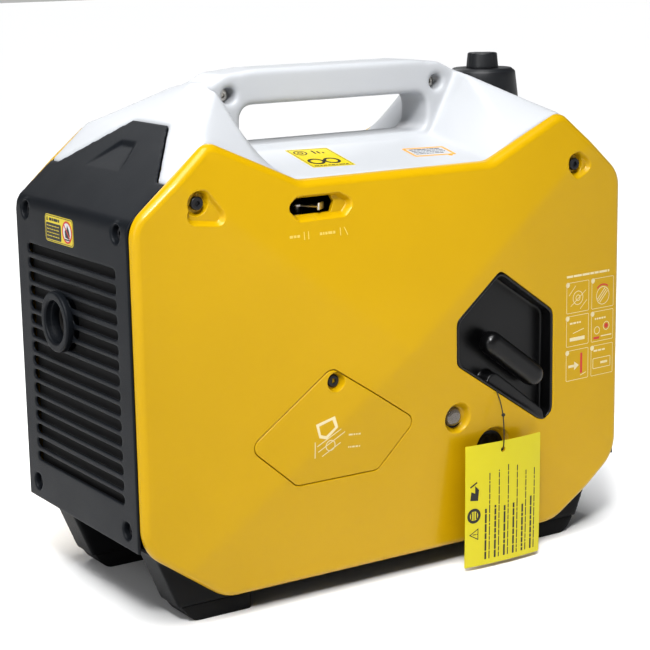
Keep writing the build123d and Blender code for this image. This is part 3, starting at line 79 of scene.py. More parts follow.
# ---- Materials ---------------------------------------------------------------------------
def material(name, color, rough, metallic=0.0, coat=0.0, grain=0.0, grain_size=0.0006,
             tint=0.0, rough_var=0.0, specular=0.5, transmission=0.0, coat_rough=0.1):
    """A moulded or machined surface: base colour with slight drift, grain bump, uneven gloss."""
    m = bpy.data.materials.new(name)
    m.use_nodes = True
    nodes, links = m.node_tree.nodes, m.node_tree.links
    shader = nodes["Principled BSDF"]
    shader.inputs["Base Color"].default_value = (*color, 1)
    shader.inputs["Roughness"].default_value = rough
    shader.inputs["Metallic"].default_value = metallic
    shader.inputs["Coat Weight"].default_value = coat
    shader.inputs["Coat Roughness"].default_value = coat_rough
    shader.inputs["Specular IOR Level"].default_value = specular
    shader.inputs["Transmission Weight"].default_value = transmission
    coords = nodes.new("ShaderNodeTexCoord")

    def noise(scale, detail):
        """A noise value over the object's own coordinates."""
        texture = nodes.new("ShaderNodeTexNoise")
        texture.inputs["Scale"].default_value = scale
        texture.inputs["Detail"].default_value = detail
        links.new(coords.outputs["Object"], texture.inputs["Vector"])
        return texture.outputs["Fac"]

    if tint:
        ramp = nodes.new("ShaderNodeValToRGB")
        low, high = ramp.color_ramp.elements
        low.position, high.position = 0.3, 0.7
        low.color = (*[c * (1 - tint) for c in color], 1)
        high.color = (*[min(1, c * (1 + tint)) for c in color], 1)
        links.new(noise(9.0, 3.0), ramp.inputs["Fac"])
        links.new(ramp.outputs["Color"], shader.inputs["Base Color"])
    if rough_var:
        spread = nodes.new("ShaderNodeMapRange")
        spread.inputs["To Min"].default_value = max(0.02, rough - rough_var)
        spread.inputs["To Max"].default_value = rough + rough_var
        links.new(noise(30.0, 4.0), spread.inputs["Value"])
        links.new(spread.outputs["Result"], shader.inputs["Roughness"])
    if grain:
        bump = nodes.new("ShaderNodeBump")
        bump.inputs["Strength"].default_value = grain
        bump.inputs["Distance"].default_value = 0.4 * MM
        links.new(noise(1.0 / grain_size, 2.0), bump.inputs["Height"])
        links.new(bump.outputs["Normal"], shader.inputs["Normal"])
    return m


YELLOW = material("yellow_panel", (0.46, 0.283, 0.0012), 0.3, coat=0.12, coat_rough=0.08,
                  grain=0.02, grain_size=0.004, tint=0.02, rough_var=0.03, specular=0.25)
WHITE = material("white_cover", (0.42, 0.433, 0.452), 0.4, coat=0.05, grain=0.05,
                 grain_size=0.0008, tint=0.008, rough_var=0.03, specular=0.3)
BLACK = material("black_cover", (0.0075, 0.009, 0.0115), 0.45, grain=0.35, grain_size=0.0007,
                 tint=0.1, rough_var=0.05, specular=0.16)
PAN = material("black_pan", (0.005, 0.0052, 0.006), 0.5, grain=0.4, grain_size=0.0008,
               tint=0.15, rough_var=0.06, specular=0.16)
GLOSS_BLACK = material("black_gloss", (0.004, 0.004, 0.0045), 0.3, grain=0.08,
                       grain_size=0.001, rough_var=0.05, tint=0.1, specular=0.4)
CAP_BLACK = material("black_cap", (0.012, 0.013, 0.015), 0.38, grain=0.15, tint=0.1,
                     rough_var=0.06)
RUBBER = material("rubber", (0.005, 0.005, 0.0055), 0.6, grain=0.3, tint=0.15, rough_var=0.08,
                  specular=0.2)
STEEL = material("zinc_steel", (0.62, 0.60, 0.56), 0.28, metallic=1.0, grain=0.1, tint=0.06,
                 rough_var=0.08)
DARK_STEEL = material("black_oxide", (0.03, 0.03, 0.033), 0.35, metallic=0.6, grain=0.1,
                      tint=0.1, rough_var=0.08)
ALLOY = material("cast_alloy", (0.42, 0.42, 0.42), 0.5, metallic=1.0, grain=0.5,
                 grain_size=0.0012, tint=0.08, rough_var=0.08)
IRON = material("iron", (0.12, 0.12, 0.13), 0.6, metallic=0.8, grain=0.4, tint=0.1)
COPPER = material("winding", (0.45, 0.18, 0.07), 0.45, metallic=0.9, grain=0.3, tint=0.1)
TANK = material("tank", (0.05, 0.05, 0.055), 0.45, grain=0.2, tint=0.1)
FOAM = material("foam", (0.05, 0.05, 0.05), 0.95, grain=1.0, grain_size=0.0015, tint=0.3)
CERAMIC = material("ceramic", (0.8, 0.8, 0.77), 0.2, grain=0.02, tint=0.02)
BULB = material("primer_bulb", (0.16, 0.14, 0.12), 0.06, coat=1.0, coat_rough=0.02,
                rough_var=0.03, tint=0.3, transmission=0.5)
LAMP = material("lamp", (0.5, 0.05, 0.03), 0.15, coat=0.5, tint=0.05, rough_var=0.03)
RED = material("red_switch", (0.45, 0.02, 0.02), 0.3, grain=0.05, tint=0.05)
CARD = material("tag_card", (0.50, 0.44, 0.004), 0.45, grain=0.05, grain_size=0.001, tint=0.03,
                rough_var=0.04)
INK = material("ink", (0.012, 0.012, 0.012), 0.5, grain=0.05, tint=0.1)
WHITE_INK = material("white_ink", (0.62, 0.53, 0.32), 0.45, grain=0.05, tint=0.05)
# Painted highlight: a paler yellow for the embossed choke marks, standing for light caught by
# their relief.
EMBOSS_HIGHLIGHT_YELLOW = material("emboss_painted_highlight", (0.60, 0.45, 0.10), 0.45, grain=0.05, tint=0.05)
ORANGE_INK = material("orange_ink", (0.75, 0.30, 0.01), 0.45, grain=0.05, tint=0.05)
RED_INK = material("red_ink", (0.45, 0.03, 0.02), 0.45, grain=0.05, tint=0.05)
LABEL_YELLOW = material("label_yellow", (0.55, 0.44, 0.005), 0.4, grain=0.03, tint=0.02)
LABEL_WHITE = material("label_white", (0.50, 0.51, 0.52), 0.4, grain=0.03, tint=0.02)
# Painted shade: near-black for the sheet behind the slats, standing for the shade inside the
# machine.
SLAT_SHADE_BLACK = material("painted_slat_shade", (0.004, 0.004, 0.0045), 0.8, grain=0.2, tint=0.1)
MUFFLER = material("muffler_steel", (0.03, 0.028, 0.026), 0.6, metallic=0.4, grain=0.3, tint=0.2)
STRING = material("string", (0.012, 0.012, 0.012), 0.7, grain=0.6, grain_size=0.0003, tint=0.2)

node_materials = {
    YELLOW: ("side_panel_near", "side_panel_far", "service_door"),
    WHITE: ("top_cover_near", "top_cover_far", "fuel_strainer", "breaker_button"),
    BLACK: ("rear_cover", "front_cover", "exhaust_ring", "recoil_housing", "starter_reel",
            "air_filter_box", "intake_manifold", "cooling_fan", "fan_shroud",
            "control_panel", "ac_outlets", "outlet_lid_1", "outlet_lid_2", "dc_socket",
            "primer_body"),
    PAN: ("base_pan",),
    GLOSS_BLACK: ("recoil_bezel", "recoil_grip", "engine_switch", "drain_plug"),
    CAP_BLACK: ("fuel_cap", "cap_insert", "vent_knob", "cap_collar"),
    RUBBER: ("rubber_feet", "engine_mounts"),
    STEEL: ("choke_lever", "recoil_spring", "rocker_cover", "crankshaft", "crank_bearings",
            "foot_screws", "handle_screws"),
    MUFFLER: ("muffler",),
    DARK_STEEL: ("cover_screws", "service_door_screw"),
    ALLOY: ("carburettor", "engine_block", "cylinder_head", "piston", "inverter_module"),
    IRON: ("rotor", "ignition_coil"),
    COPPER: ("stator",),
    TANK: ("fuel_tank",),
    FOAM: ("air_filter",),
    CERAMIC: ("spark_plug",),
    BULB: ("primer_bulb",),
    LAMP: ("indicator_lamps",),
    RED: ("eco_rocker",),
    CARD: ("hang_tag",),
    STRING: ("starter_rope", "tag_string"),
}
for look, names in node_materials.items():
    for name in names:
        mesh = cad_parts[name].data
        mesh.materials.clear()
        mesh.materials.append(look)


# ---- Piece helpers -----------------------------------------------------------------------
def make_piece(name, mesh, look, body, replaced=()):
    """Link a mesh as a piece that rides on a body and stands for CAD nodes."""
    piece = bpy.data.objects.new(name, mesh)
    bpy.context.scene.collection.objects.link(piece)
    for item in look if isinstance(look, (list, tuple)) else [look]:
        mesh.materials.append(item)
    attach(piece, body)
    if replaced:
        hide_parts(*replaced)
    return piece


def round_edges(node, width, angle=35.0):
    """Bevel a CAD node's sharp edges a little and shade it smoothly."""
    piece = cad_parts[node]
    weld = piece.modifiers.new("weld", "WELD")
    weld.merge_threshold = WELD_DISTANCE
    bevel = piece.modifiers.new("bevel", "BEVEL")
    bevel.width = width
    bevel.segments = 2
    bevel.limit_method = "ANGLE"
    bevel.angle_limit = radians(angle)
    bevel.harden_normals = True
    for polygon in piece.data.polygons:
        polygon.use_smooth = True


def soften(name, nodes, voxel, passes, look, body):
    """One moulded skin with soft edges from CAD nodes: remeshed finely, then relaxed."""
    bm = bmesh.new()
    for node in nodes:
        bm.from_mesh(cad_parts[node].data)
    bmesh.ops.remove_doubles(bm, verts=bm.verts, dist=WELD_DISTANCE)
    source = bpy.data.meshes.new(name + "_source")
    bm.to_mesh(source)
    bm.free()
    carrier = bpy.data.objects.new(name + "_source", source)
    bpy.context.scene.collection.objects.link(carrier)
    remesh = carrier.modifiers.new("remesh", "REMESH")
    remesh.mode = "VOXEL"
    remesh.voxel_size = voxel
    graph = bpy.context.evaluated_depsgraph_get()
    mesh = bpy.data.meshes.new_from_object(carrier.evaluated_get(graph))
    bpy.data.objects.remove(carrier)
    relax(mesh, passes)
    mesh.polygons.foreach_set("use_smooth", np.ones(len(mesh.polygons), dtype=bool))
    mesh.materials.clear()
    return make_piece(name, mesh, look, body, nodes)


def relax(mesh, passes, pull=0.5):
    """Move every vertex towards the mean of its neighbours, a number of times."""
    count = len(mesh.vertices)
    points = np.empty(count * 3)
    mesh.vertices.foreach_get("co", points)
    points = points.reshape(-1, 3)
    edges = np.empty(len(mesh.edges) * 2, dtype=np.int64)
    mesh.edges.foreach_get("vertices", edges)
    edges = edges.reshape(-1, 2)
    degree = np.bincount(edges.ravel(), minlength=count)[:, None]
    for _ in range(passes):
        total = np.zeros_like(points)
        for axis in range(3):
            total[:, axis] = np.bincount(edges[:, 0], points[edges[:, 1], axis], count)
            total[:, axis] += np.bincount(edges[:, 1], points[edges[:, 0], axis], count)
        points += pull * (total / np.maximum(degree, 1) - points)
    mesh.vertices.foreach_set("co", points.ravel())
    mesh.update()


# ---- Plane geometry ----------------------------------------------------------------------
def divided(loop, spacing=2.2):
    """The same closed loop with extra points, so that no side is longer than spacing."""
    out = []
    for start, end in zip(loop, np.roll(loop, -1, axis=0)):
        parts = max(1, int(np.ceil(hypot(*(end - start)) / spacing)))
        out += [start + (end - start) * k / parts for k in range(parts)]
    return np.array(out)


def rounded(corners, radius, inset=0.0, steps=7):
    """Points round a polygon with filleted corners, moved inwards by inset (mm in, m out)."""
    pts = [Vector(c) for c in corners]
    count = len(pts)
    radii = list(radius) if isinstance(radius, (list, tuple)) else [radius] * count
    area = sum(a.x * b.y - b.x * a.y for a, b in zip(pts, pts[1:] + pts[:1]))
    if area < 0:
        pts.reverse()
        radii.reverse()
    out = []
    for i in range(count):
        before, here, after = pts[i - 1], pts[i], pts[(i + 1) % count]
        d_in, d_out = (here - before).normalized(), (after - here).normalized()
        n_in, n_out = Vector((-d_in.y, d_in.x)), Vector((-d_out.y, d_out.x))
        turn = d_in.cross(d_out)
        bend = atan2(turn, d_in.dot(d_out))
        if abs(bend) < 0.01:
            out.append(here + n_in * inset)
            continue
        side = 1.0 if turn > 0 else -1.0
        reach = radii[i] / abs(cos(bend / 2))
        center = here + (n_in + n_out).normalized() * side * reach
        r = max(radii[i] - side * inset, 0.05)
        start = atan2(-side * n_in.y, -side * n_in.x)
        for k in range(steps + 1):
            angle = start + bend * k / steps
            out.append(center + Vector((cos(angle), sin(angle))) * r)
    return divided(np.array([(p.x, p.y) for p in out])) * MM


def circle(x, z, radius, steps=40):
    """Points round a circle (mm in, m out)."""
    angles = np.linspace(0, 2 * pi, steps, endpoint=False)
    return np.column_stack([x + radius * np.cos(angles), z + radius * np.sin(angles)]) * MM


def depth_inside(points, loop):
    """Signed distance of points to a closed loop, positive inside."""
    a, b = loop, np.roll(loop, -1, axis=0)
    nearest = np.full(len(points), 1e9)
    inside = np.zeros(len(points), dtype=bool)
    for (ax, ay), (bx, by) in zip(a, b):
        ex, ey = bx - ax, by - ay
        length = ex * ex + ey * ey
        if length < 1e-16:
            continue
        t = np.clip(((points[:, 0] - ax) * ex + (points[:, 1] - ay) * ey) / length, 0, 1)
        dx, dy = points[:, 0] - ax - t * ex, points[:, 1] - ay - t * ey
        nearest = np.minimum(nearest, dx * dx + dy * dy)
        crosses = (ay > points[:, 1]) != (by > points[:, 1])
        if ey:
            at = ax + (points[:, 1] - ay) * ex / ey
            inside ^= crosses & (points[:, 0] < at)
    distance = np.sqrt(nearest)
    return np.where(inside, distance, -distance)


def triangulated(loops, free, tolerance):
    """Corners and triangles that fill the first loop but not the others, through free points."""
    edges, start = [], 0
    for loop in loops:
        edges += [(start + i, start + (i + 1) % len(loop)) for i in range(len(loop))]
        start += len(loop)
    corners, _, faces, _, _, _ = delaunay_2d_cdt(
        [Vector(p) for p in np.vstack([*loops, free])], edges, [], 0, tolerance, True
    )
    flat = np.array([(v.x, v.y) for v in corners])
    middles = np.array([flat[list(f)].mean(axis=0) for f in faces])
    good = depth_inside(middles, loops[0]) > 0
    for hole in loops[1:]:
        good &= depth_inside(middles, hole) < 0
    return flat, [list(f) for f, g in zip(faces, good) if g]


# ---- Side panels -------------------------------------------------------------------------
near_low, near_high = (Vector(v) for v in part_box("side_panel_near"))
HALF_X = near_high.x
BASE_Y = -near_high.y  # plane where the panel meets the body
APEX_Y = -near_low.y
MID_Z = (near_low.z + near_high.z) / 2
HALF_Z = (near_high.z - near_low.z) / 2
RIM_DEPTH = 7 * MM
FALL = APEX_Y - BASE_Y - RIM_DEPTH
CREASE_BLEND = 0.028  # width of the soft crease between two facets, as a share of the face
CREASE_SPACING = 2.2  # between the three lines of points along a crease
PANEL_RIM = 6.8 * MM
# Where rings of points run along a rim or a recess's slope, as shares of its width.
RIM_RINGS = (0.04, 0.12, 0.25, 0.42, 0.62, 0.82, 1.0, 1.25)
HOLE_RINGS = (0.06, 0.2, 0.45, 0.75, 1.0, 1.5)
RECESS_RINGS = (0, -0.15, 0.12, 0.25, 0.4, 0.55, 0.7, 0.85, 1.0, 1.15)
# How far the face's other points keep from them, as shares of the same widths.
RIM_CLEAR, HOLE_CLEAR, RECESS_CLEAR_OUT, RECESS_CLEAR_IN = 1.4, 1.7, 0.3, 1.2
OUTLINE = [(-250, 72.5), (-250, 338.8), (-180, 398.6), (-97, 361), (97, 361), (180, 398.6),
           (250, 338.8), (250, 72.5), (175, 18.9), (-175, 18.9)]
OUTLINE_ROUND = [36, 28, 14, 24, 24, 14, 28, 36, 38, 38]
DOOR = [(-78, 205), (8, 147), (-30, 107), (-112, 107), (-156, 146)]
BEZEL = [(101, 266), (165, 222), (165, 112), (50, 188), (50, 227)]
BEZEL_ROUND = [7, 10, 13, 9, 9]
CHOKE = [(-115, 340), (-103, 349.5), (-62, 349.5), (-45, 341), (-57, 328), (-103.5, 327.5)]
CHOKE_SLOT = [(-113.4, 340), (-104, 346.6), (-68, 346.6), (-64.5, 341), (-68, 332.8),
              (-104, 332.6)]
SCREW_LEFT = [(-190, 369), (-160, 329), (-209, 335)]
SCREW_RIGHT = [(190, 369), (219, 348), (184, 332)]


def facet(p):
    """Distance of the faceted face from the middle plane at points (x, z)."""
    u = np.abs(p[:, 0]) / HALF_X
    v = np.abs(p[:, 1] - MID_Z) / HALF_Z
    overlap = np.maximum(CREASE_BLEND - np.abs(u - v), 0) / CREASE_BLEND
    return APEX_Y - FALL * (np.maximum(u, v) + overlap**2 * CREASE_BLEND / 4)


def crease_points():
    """Points along and beside the four creases between the facets."""
    return np.array([(sx * t * HALF_X + shift * MM, MID_Z + sz * t * HALF_Z)
                     for sx in (-1, 1) for sz in (-1, 1) for t in np.linspace(0.004, 1, 150)
                     for shift in (-CREASE_SPACING, 0, CREASE_SPACING)])


def step(s, width):
    """Smooth rise from 0 to 1 as s goes from 0 to width."""
    t = np.clip(s / width, 0, 1)
    return t * t * (3 - 2 * t)


def rim_drop(distance, radius):
    """How far a rounded rim falls away at a distance from its edge."""
    t = np.clip(radius - distance, 0, radius)
    return radius - np.sqrt(np.maximum(radius * radius - t * t, 0))


class Skin:
    """A moulded face given as a height over a plane region, with rims, holes and recesses."""

    def __init__(self, outline, outline_round, rim, shrink=0.0):
        self.outline = (outline, outline_round, shrink)
        self.rim = rim
        self.edge = rounded(outline, outline_round, shrink, steps=10)
        self.holes = []
        self.recesses = []

    def add_hole(self, loop_at, rim, wall):
        """loop_at(inset) gives the hole's loop; rim is its rounding, wall its depth inwards."""
        self.holes.append((loop_at, rim, wall, loop_at(0)))

    def add_recess(self, loop_at, width, depth):
        """loop_at(inset) gives the recess's loop; width is how far its slope runs inwards."""
        self.recesses.append((loop_at, width, depth, loop_at(0)))

    def height(self, p):
        """Distance of the face from the middle plane at points (x, z)."""
        y = facet(p)
        for _, width, depth, loop in self.recesses:
            y = y - depth * step(depth_inside(p, loop), width)
        y = y - rim_drop(depth_inside(p, self.edge), self.rim)
        for _, rim, _, loop in self.holes:
            y = y - rim_drop(-depth_inside(p, loop), rim)
        return y

    def slopes(self, p, eps=0.12 * MM):
        """Outward normals of the face at points (x, z)."""
        slope_x = (self.height(p + (eps, 0)) - self.height(p - (eps, 0))) / (2 * eps)
        slope_z = (self.height(p + (0, eps)) - self.height(p - (0, eps))) / (2 * eps)
        normals = np.column_stack([-slope_x, np.ones(len(p)), -slope_z])
        return normals / np.linalg.norm(normals, axis=1)[:, None]

    def rings(self):
        """Rings of points along every rim and slope, where the face bends most."""
        outline, radii, shrink = self.outline
        rings = [rounded(outline, radii, shrink + f * self.rim / MM, steps=10) for f in RIM_RINGS]
        for loop_at, rim, _, _ in self.holes:
            rings += [loop_at(-f * rim / MM) for f in HOLE_RINGS]
        for loop_at, width, _, _ in self.recesses:
            rings += [loop_at(f * width / MM) for f in RECESS_RINGS]
        points, gap = np.vstack(rings), 0.02 * MM
        fits = depth_inside(points, self.edge) > gap
        for _, _, _, loop in self.holes:
            fits &= depth_inside(points, loop) < -gap
        return points[fits]

    def clear(self, points):
        """Those of the points that keep away from the rims and slopes."""
        gap = 0.3 * MM
        keep = depth_inside(points, self.edge) > RIM_CLEAR * self.rim
        for _, rim, _, loop in self.holes:
            keep &= depth_inside(points, loop) < -(HOLE_CLEAR * rim + gap)
        for _, width, _, loop in self.recesses:
            s = depth_inside(points, loop)
            keep &= (s < -RECESS_CLEAR_OUT * width - gap) | (s > RECESS_CLEAR_IN * width)
        return points[keep]

    def grid(self, spacing):
        """A staggered grid of points over the face."""
        low, high = self.edge.min(axis=0), self.edge.max(axis=0)
        gx, gz = np.meshgrid(np.arange(low[0], high[0], spacing),
                             np.arange(low[1], high[1], spacing))
        gx[1::2] += spacing / 2
        return np.column_stack([gx.ravel(), gz.ravel()])

    def walls(self):
        """Each loop with its top, its bottom, its wall's normals and the way its wall faces."""
        loops = [(self.edge, None, 1)] + [(loop, wall, -1) for _, _, wall, loop in self.holes]
        for loop, wall, sign in loops:
            top = self.height(loop)
            bottom = np.full(len(loop), BASE_Y) if wall is None else top - wall
            along = np.roll(loop, -1, axis=0) - np.roll(loop, 1, axis=0)
            along /= np.linalg.norm(along, axis=1)[:, None]
            normal = sign * np.column_stack([along[:, 1], np.zeros(len(loop)), -along[:, 0]])
            yield loop, top, bottom, normal, sign

    def build(self, name, spacing, side=-1):
        """Mesh of the face and the walls of its edge and holes. side is -1 or +1 along Y."""
        loops = [self.edge] + [loop for _, _, _, loop in self.holes]
        free = np.vstack([self.rings(), self.clear(self.grid(spacing)),
                          self.clear(crease_points())])
        flat, faces = triangulated(loops, free, 1e-6)
        all_coords = [np.column_stack([flat[:, 0], self.height(flat), flat[:, 1]])]
        all_normals = [self.slopes(flat)]
        base = len(flat)
        for loop, top, bottom, normal, sign in self.walls():
            count = len(loop)
            all_coords += [np.column_stack([loop[:, 0], y, loop[:, 1]]) for y in (top, bottom)]
            all_normals += [normal, normal]
            for i in range(count):
                j = (i + 1) % count
                quad = [base + i, base + j, base + count + j, base + count + i]
                faces.append(quad if sign > 0 else quad[::-1])
            base += 2 * count
        coords, normals = np.vstack(all_coords), np.vstack(all_normals)
        coords[:, 1] *= side
        normals[:, 1] *= side
        ordered = []
        for f in faces:
            a, b, c = (coords[f[k]] for k in (0, 1, 2))
            outward = np.dot(np.cross(b - a, c - a), normals[f[0]] + normals[f[1]] + normals[f[2]])
            ordered.append(f if outward > 0 else f[::-1])
        mesh = bpy.data.meshes.new(name)
        mesh.from_pydata([tuple(c) for c in coords], [], ordered)
        mesh.polygons.foreach_set("use_smooth", np.ones(len(ordered), dtype=bool))
        mesh.normals_split_custom_set_from_vertices([tuple(n) for n in normals])
        mesh.update()
        return mesh


def polygon_at(corners, radius):
    """A filleted polygon as a function of how far it is moved inwards."""
    return lambda inset: rounded(corners, radius, inset)


def circle_at(x, z, radius):
    """A circle as a function of how far it is moved inwards."""
    return lambda inset: circle(x, z, radius - inset)


def screw_recess(skin, triangle, x, z):
    """A rounded triangular scoop round a deeper screw well."""
    skin.add_recess(polygon_at(triangle, 8), width=4.4 * MM, depth=4.4 * MM)
    skin.add_recess(circle_at(x, z, 10.5), width=2.6 * MM, depth=4.5 * MM)


SCREW_X, SCREW_Z = 193, 351
panel = Skin(OUTLINE, OUTLINE_ROUND, PANEL_RIM)
far = Skin(OUTLINE, OUTLINE_ROUND, PANEL_RIM, shrink=1.5)
for skin in (panel, far):
    screw_recess(skin, SCREW_LEFT, -SCREW_X, SCREW_Z)
    screw_recess(skin, SCREW_RIGHT, SCREW_X, SCREW_Z)
panel.add_recess(polygon_at(CHOKE, 7), width=4.5 * MM, depth=6.0 * MM)
panel.add_hole(polygon_at(CHOKE_SLOT, [5, 4, 1.5, 2, 1.5, 4]), rim=0.8 * MM, wall=3 * MM)
panel.add_hole(polygon_at(DOOR, 9), rim=0.8 * MM, wall=4 * MM)
panel.add_hole(polygon_at(BEZEL, BEZEL_ROUND), rim=1.2 * MM, wall=8 * MM)
panel.add_recess(circle_at(53, 140.5, 14.5), width=5.0 * MM, depth=6.3 * MM)  # primer bulb
panel.add_hole(circle_at(51, 141, 8.9), rim=0.5 * MM, wall=2.5 * MM)
panel.add_recess(circle_at(94.5, 106.5, 19.5), width=3.6 * MM, depth=4.5 * MM)  # drain plug
panel.add_hole(circle_at(93, 106, 15.4), rim=0.6 * MM, wall=4 * MM)
make_piece("near_panel", panel.build("near_panel", 4.5 * MM), YELLOW, "frame",
           ("side_panel_near",))
make_piece("far_panel", far.build("far_panel", 6 * MM, side=1), YELLOW, "frame",
           ("side_panel_far",))

door = Skin(DOOR, 9, 0.8 * MM, shrink=0.65)
door.add_recess(circle_at(-74, 192, 8.6), width=2.4 * MM, depth=6.5 * MM)
make_piece("service_door_skin", door.build("service_door_skin", 4.5 * MM), YELLOW,
           "service_door", ("service_door",))

# ---- Moulded covers ----------------------------------------------------------------------
cover_skin = soften("top_cover", ("top_cover_near", "top_cover_far"), 0.0017, 10, WHITE, "frame")
rear_skin = soften("rear_cover_skin", ("rear_cover",), 0.0012, 5, BLACK, "frame")
soften("front_cover_skin", ("front_cover",), 0.0016, 5, BLACK, "frame")
soften("bezel_skin", ("recoil_bezel",), 0.0009, 5, GLOSS_BLACK, "frame")
soften("grip_skin", ("recoil_grip",), 0.0008, 6, GLOSS_BLACK, "starter_grip")
soften("pan_skin", ("base_pan",), 0.0018, 3, PAN, "frame")

for node, width in {
    "fuel_cap": 0.0008, "vent_knob": 0.0008, "cap_collar": 0.0006, "exhaust_ring": 0.0005,
    "rubber_feet": 0.0008, "control_panel": 0.0004, "ac_outlets": 0.0004,
    "outlet_lid_1": 0.0005, "outlet_lid_2": 0.0005, "engine_switch": 0.0006,
    "choke_lever": 0.0003, "cover_screws": 0.0002, "handle_screws": 0.0002,
    "service_door_screw": 0.0002, "drain_plug": 0.0006, "primer_bulb": 0.0002,
    "dc_socket": 0.0003, "eco_rocker": 0.0004, "indicator_lamps": 0.0002, "muffler": 0.0005,
    "engine_block": 0.0004, "cylinder_head": 0.0004, "air_filter_box": 0.0006,
    "fuel_tank": 0.0008,
}.items():
    round_edges(node, width)

# ---- Thin marks and labels ---------------------------------------------------------------
MARK_SPACING = 4.0  # between the points of a mark, so that it follows a curved surface
MARK_MARGIN = 1.0  # from a mark's outlines to the points inside it


def islands(name, shapes, place, look, lift=0.1, sink=0.1, body="frame"):
    """Thin closed marks on a surface. A shape is a list of outlines in mm, holes after the
    outer one; place(u, v) gives the surface point and its outward normal in metres."""
    bm = bmesh.new()
    for outlines in shapes:
        loops = [divided(np.array(o, dtype=float), MARK_SPACING) for o in outlines]
        low, high = loops[0].min(axis=0) + 0.75 * MARK_SPACING, loops[0].max(axis=0)
        gu, gv = np.meshgrid(np.arange(low[0], high[0], MARK_SPACING),
                             np.arange(low[1], high[1], MARK_SPACING))
        inner = np.column_stack([gu.ravel(), gv.ravel()])
        if len(inner):
            keep = depth_inside(inner, loops[0]) > MARK_MARGIN
            for hole in loops[1:]:
                keep &= depth_inside(inner, hole) < -MARK_MARGIN
            inner = inner[keep]
        flat, faces = triangulated(loops, inner, 1e-5)
        spots = [place(u, v) for u, v in flat.tolist()]
        top = [bm.verts.new(point + normal * lift * MM) for point, normal in spots]
        low_side = [bm.verts.new(point - normal * sink * MM) for point, normal in spots]
        border = {}
        for face in faces:
            bm.faces.new([top[k] for k in face])
            bm.faces.new([low_side[k] for k in reversed(face)])
            for a, b in zip(face, face[1:] + face[:1]):
                key = (min(a, b), max(a, b))
                border[key] = None if key in border else (a, b)
        for a, b in (pair for pair in border.values() if pair):
            bm.faces.new([top[b], top[a], low_side[a], low_side[b]])
    bmesh.ops.delete(bm, geom=[v for v in bm.verts if not v.link_faces], context="VERTS")
    bmesh.ops.recalc_face_normals(bm, faces=bm.faces)
    mesh = bpy.data.meshes.new(name)
    bm.to_mesh(mesh)
    bm.free()
    return make_piece(name, mesh, look, body)


def bar(u0, v0, u1, v1, width):
    """A straight stroke between two points."""
    along = Vector((u1 - u0, v1 - v0)).normalized() * width / 2
    side = Vector((-along.y, along.x))
    return [[(u0 + side.x, v0 + side.y), (u0 - side.x, v0 - side.y),
             (u1 - side.x, v1 - side.y), (u1 + side.x, v1 + side.y)]]


def ring(u, v, radius, width, steps=28):
    """A drawn circle."""
    outer = circle(u, v, radius + width / 2, steps) / MM
    return [outer, circle(u, v, radius - width / 2, steps) / MM]


def disc(u, v, radius, steps=24):
    """A filled circle."""
    return [circle(u, v, radius, steps) / MM]


def panel_box(u0, v0, u1, v1, round_by):
    """A rectangle with rounded corners."""
    return rounded([(u0, v0), (u1, v0), (u1, v1), (u0, v1)], round_by, steps=4) / MM


def frame_box(u0, v0, u1, v1, width, round_by=1.0):
    """A drawn rectangle with rounded corners."""
    inner = panel_box(u0 + width, v0 + width, u1 - width, v1 - width, max(0.3, round_by - width))
    return [panel_box(u0, v0, u1, v1, round_by), inner]


DASH_GAP, SHORTEST_DASH = 0.9, 0.25  # the shortest as a share of the longest


def dashes(u0, v0, u1, v1, width, longest=5.0):
    """A row of short strokes with gaps, standing for a line of small print."""
    start, end = Vector((u0, v0)), Vector((u1, v1))
    length, along, at, strokes = (end - start).length, (end - start).normalized(), 0.0, []
    while at < length - 1:
        run = min(length - at, float(rng.uniform(SHORTEST_DASH, 1.0)) * longest)
        a, b = start + along * at, start + along * (at + run)
        strokes.append(bar(a.x, a.y, b.x, b.y, width))
        at += run + DASH_GAP
    return strokes


def triangle_sign(u, v, size, turn=0.0, width=0.8):
    """A drawn triangle with a short bar and a dot inside."""
    angles = [turn + pi / 2 + k * 2 * pi / 3 for k in range(3)]
    corners = [(size * cos(a), size * sin(a)) for a in angles]
    outer = [(u + cu, v + cv) for cu, cv in corners]
    inner_k = 1 - 2 * width / size
    inner = [(u + cu * inner_k, v + cv * inner_k) for cu, cv in corners]
    up = Vector((-sin(turn), cos(turn)))
    stroke = bar(u + up.x * size * 0.42, v + up.y * size * 0.42,
                 u - up.x * size * 0.1, v - up.y * size * 0.1, width)
    dot = disc(u - up.x * size * 0.28, v - up.y * size * 0.28, width * 0.6)
    return [[outer, inner], stroke, dot]


def on_panel(u, v):
    """Place a mark on the faceted face of the near panel."""
    y = facet(np.array([[u, v]]) * MM)[0]
    return Vector((u * MM, -y, v * MM)), Vector((0, -1, 0))


DROP_HEIGHT = 0.03  # where a dropped mark starts, off its surface


def dropped_on(piece, origin, u_axis, v_axis, normal):
    """A place function that drops marks on a piece's surface, against the normal."""
    mesh = piece.data
    tree = BVHTree.FromPolygons([v.co for v in mesh.vertices], [p.vertices for p in mesh.polygons])

    def place(u, v):
        start = origin + u_axis * (u * MM) + v_axis * (v * MM) + normal * DROP_HEIGHT
        point, _, _, _ = tree.ray_cast(start, -normal)
        return point, normal
    return place


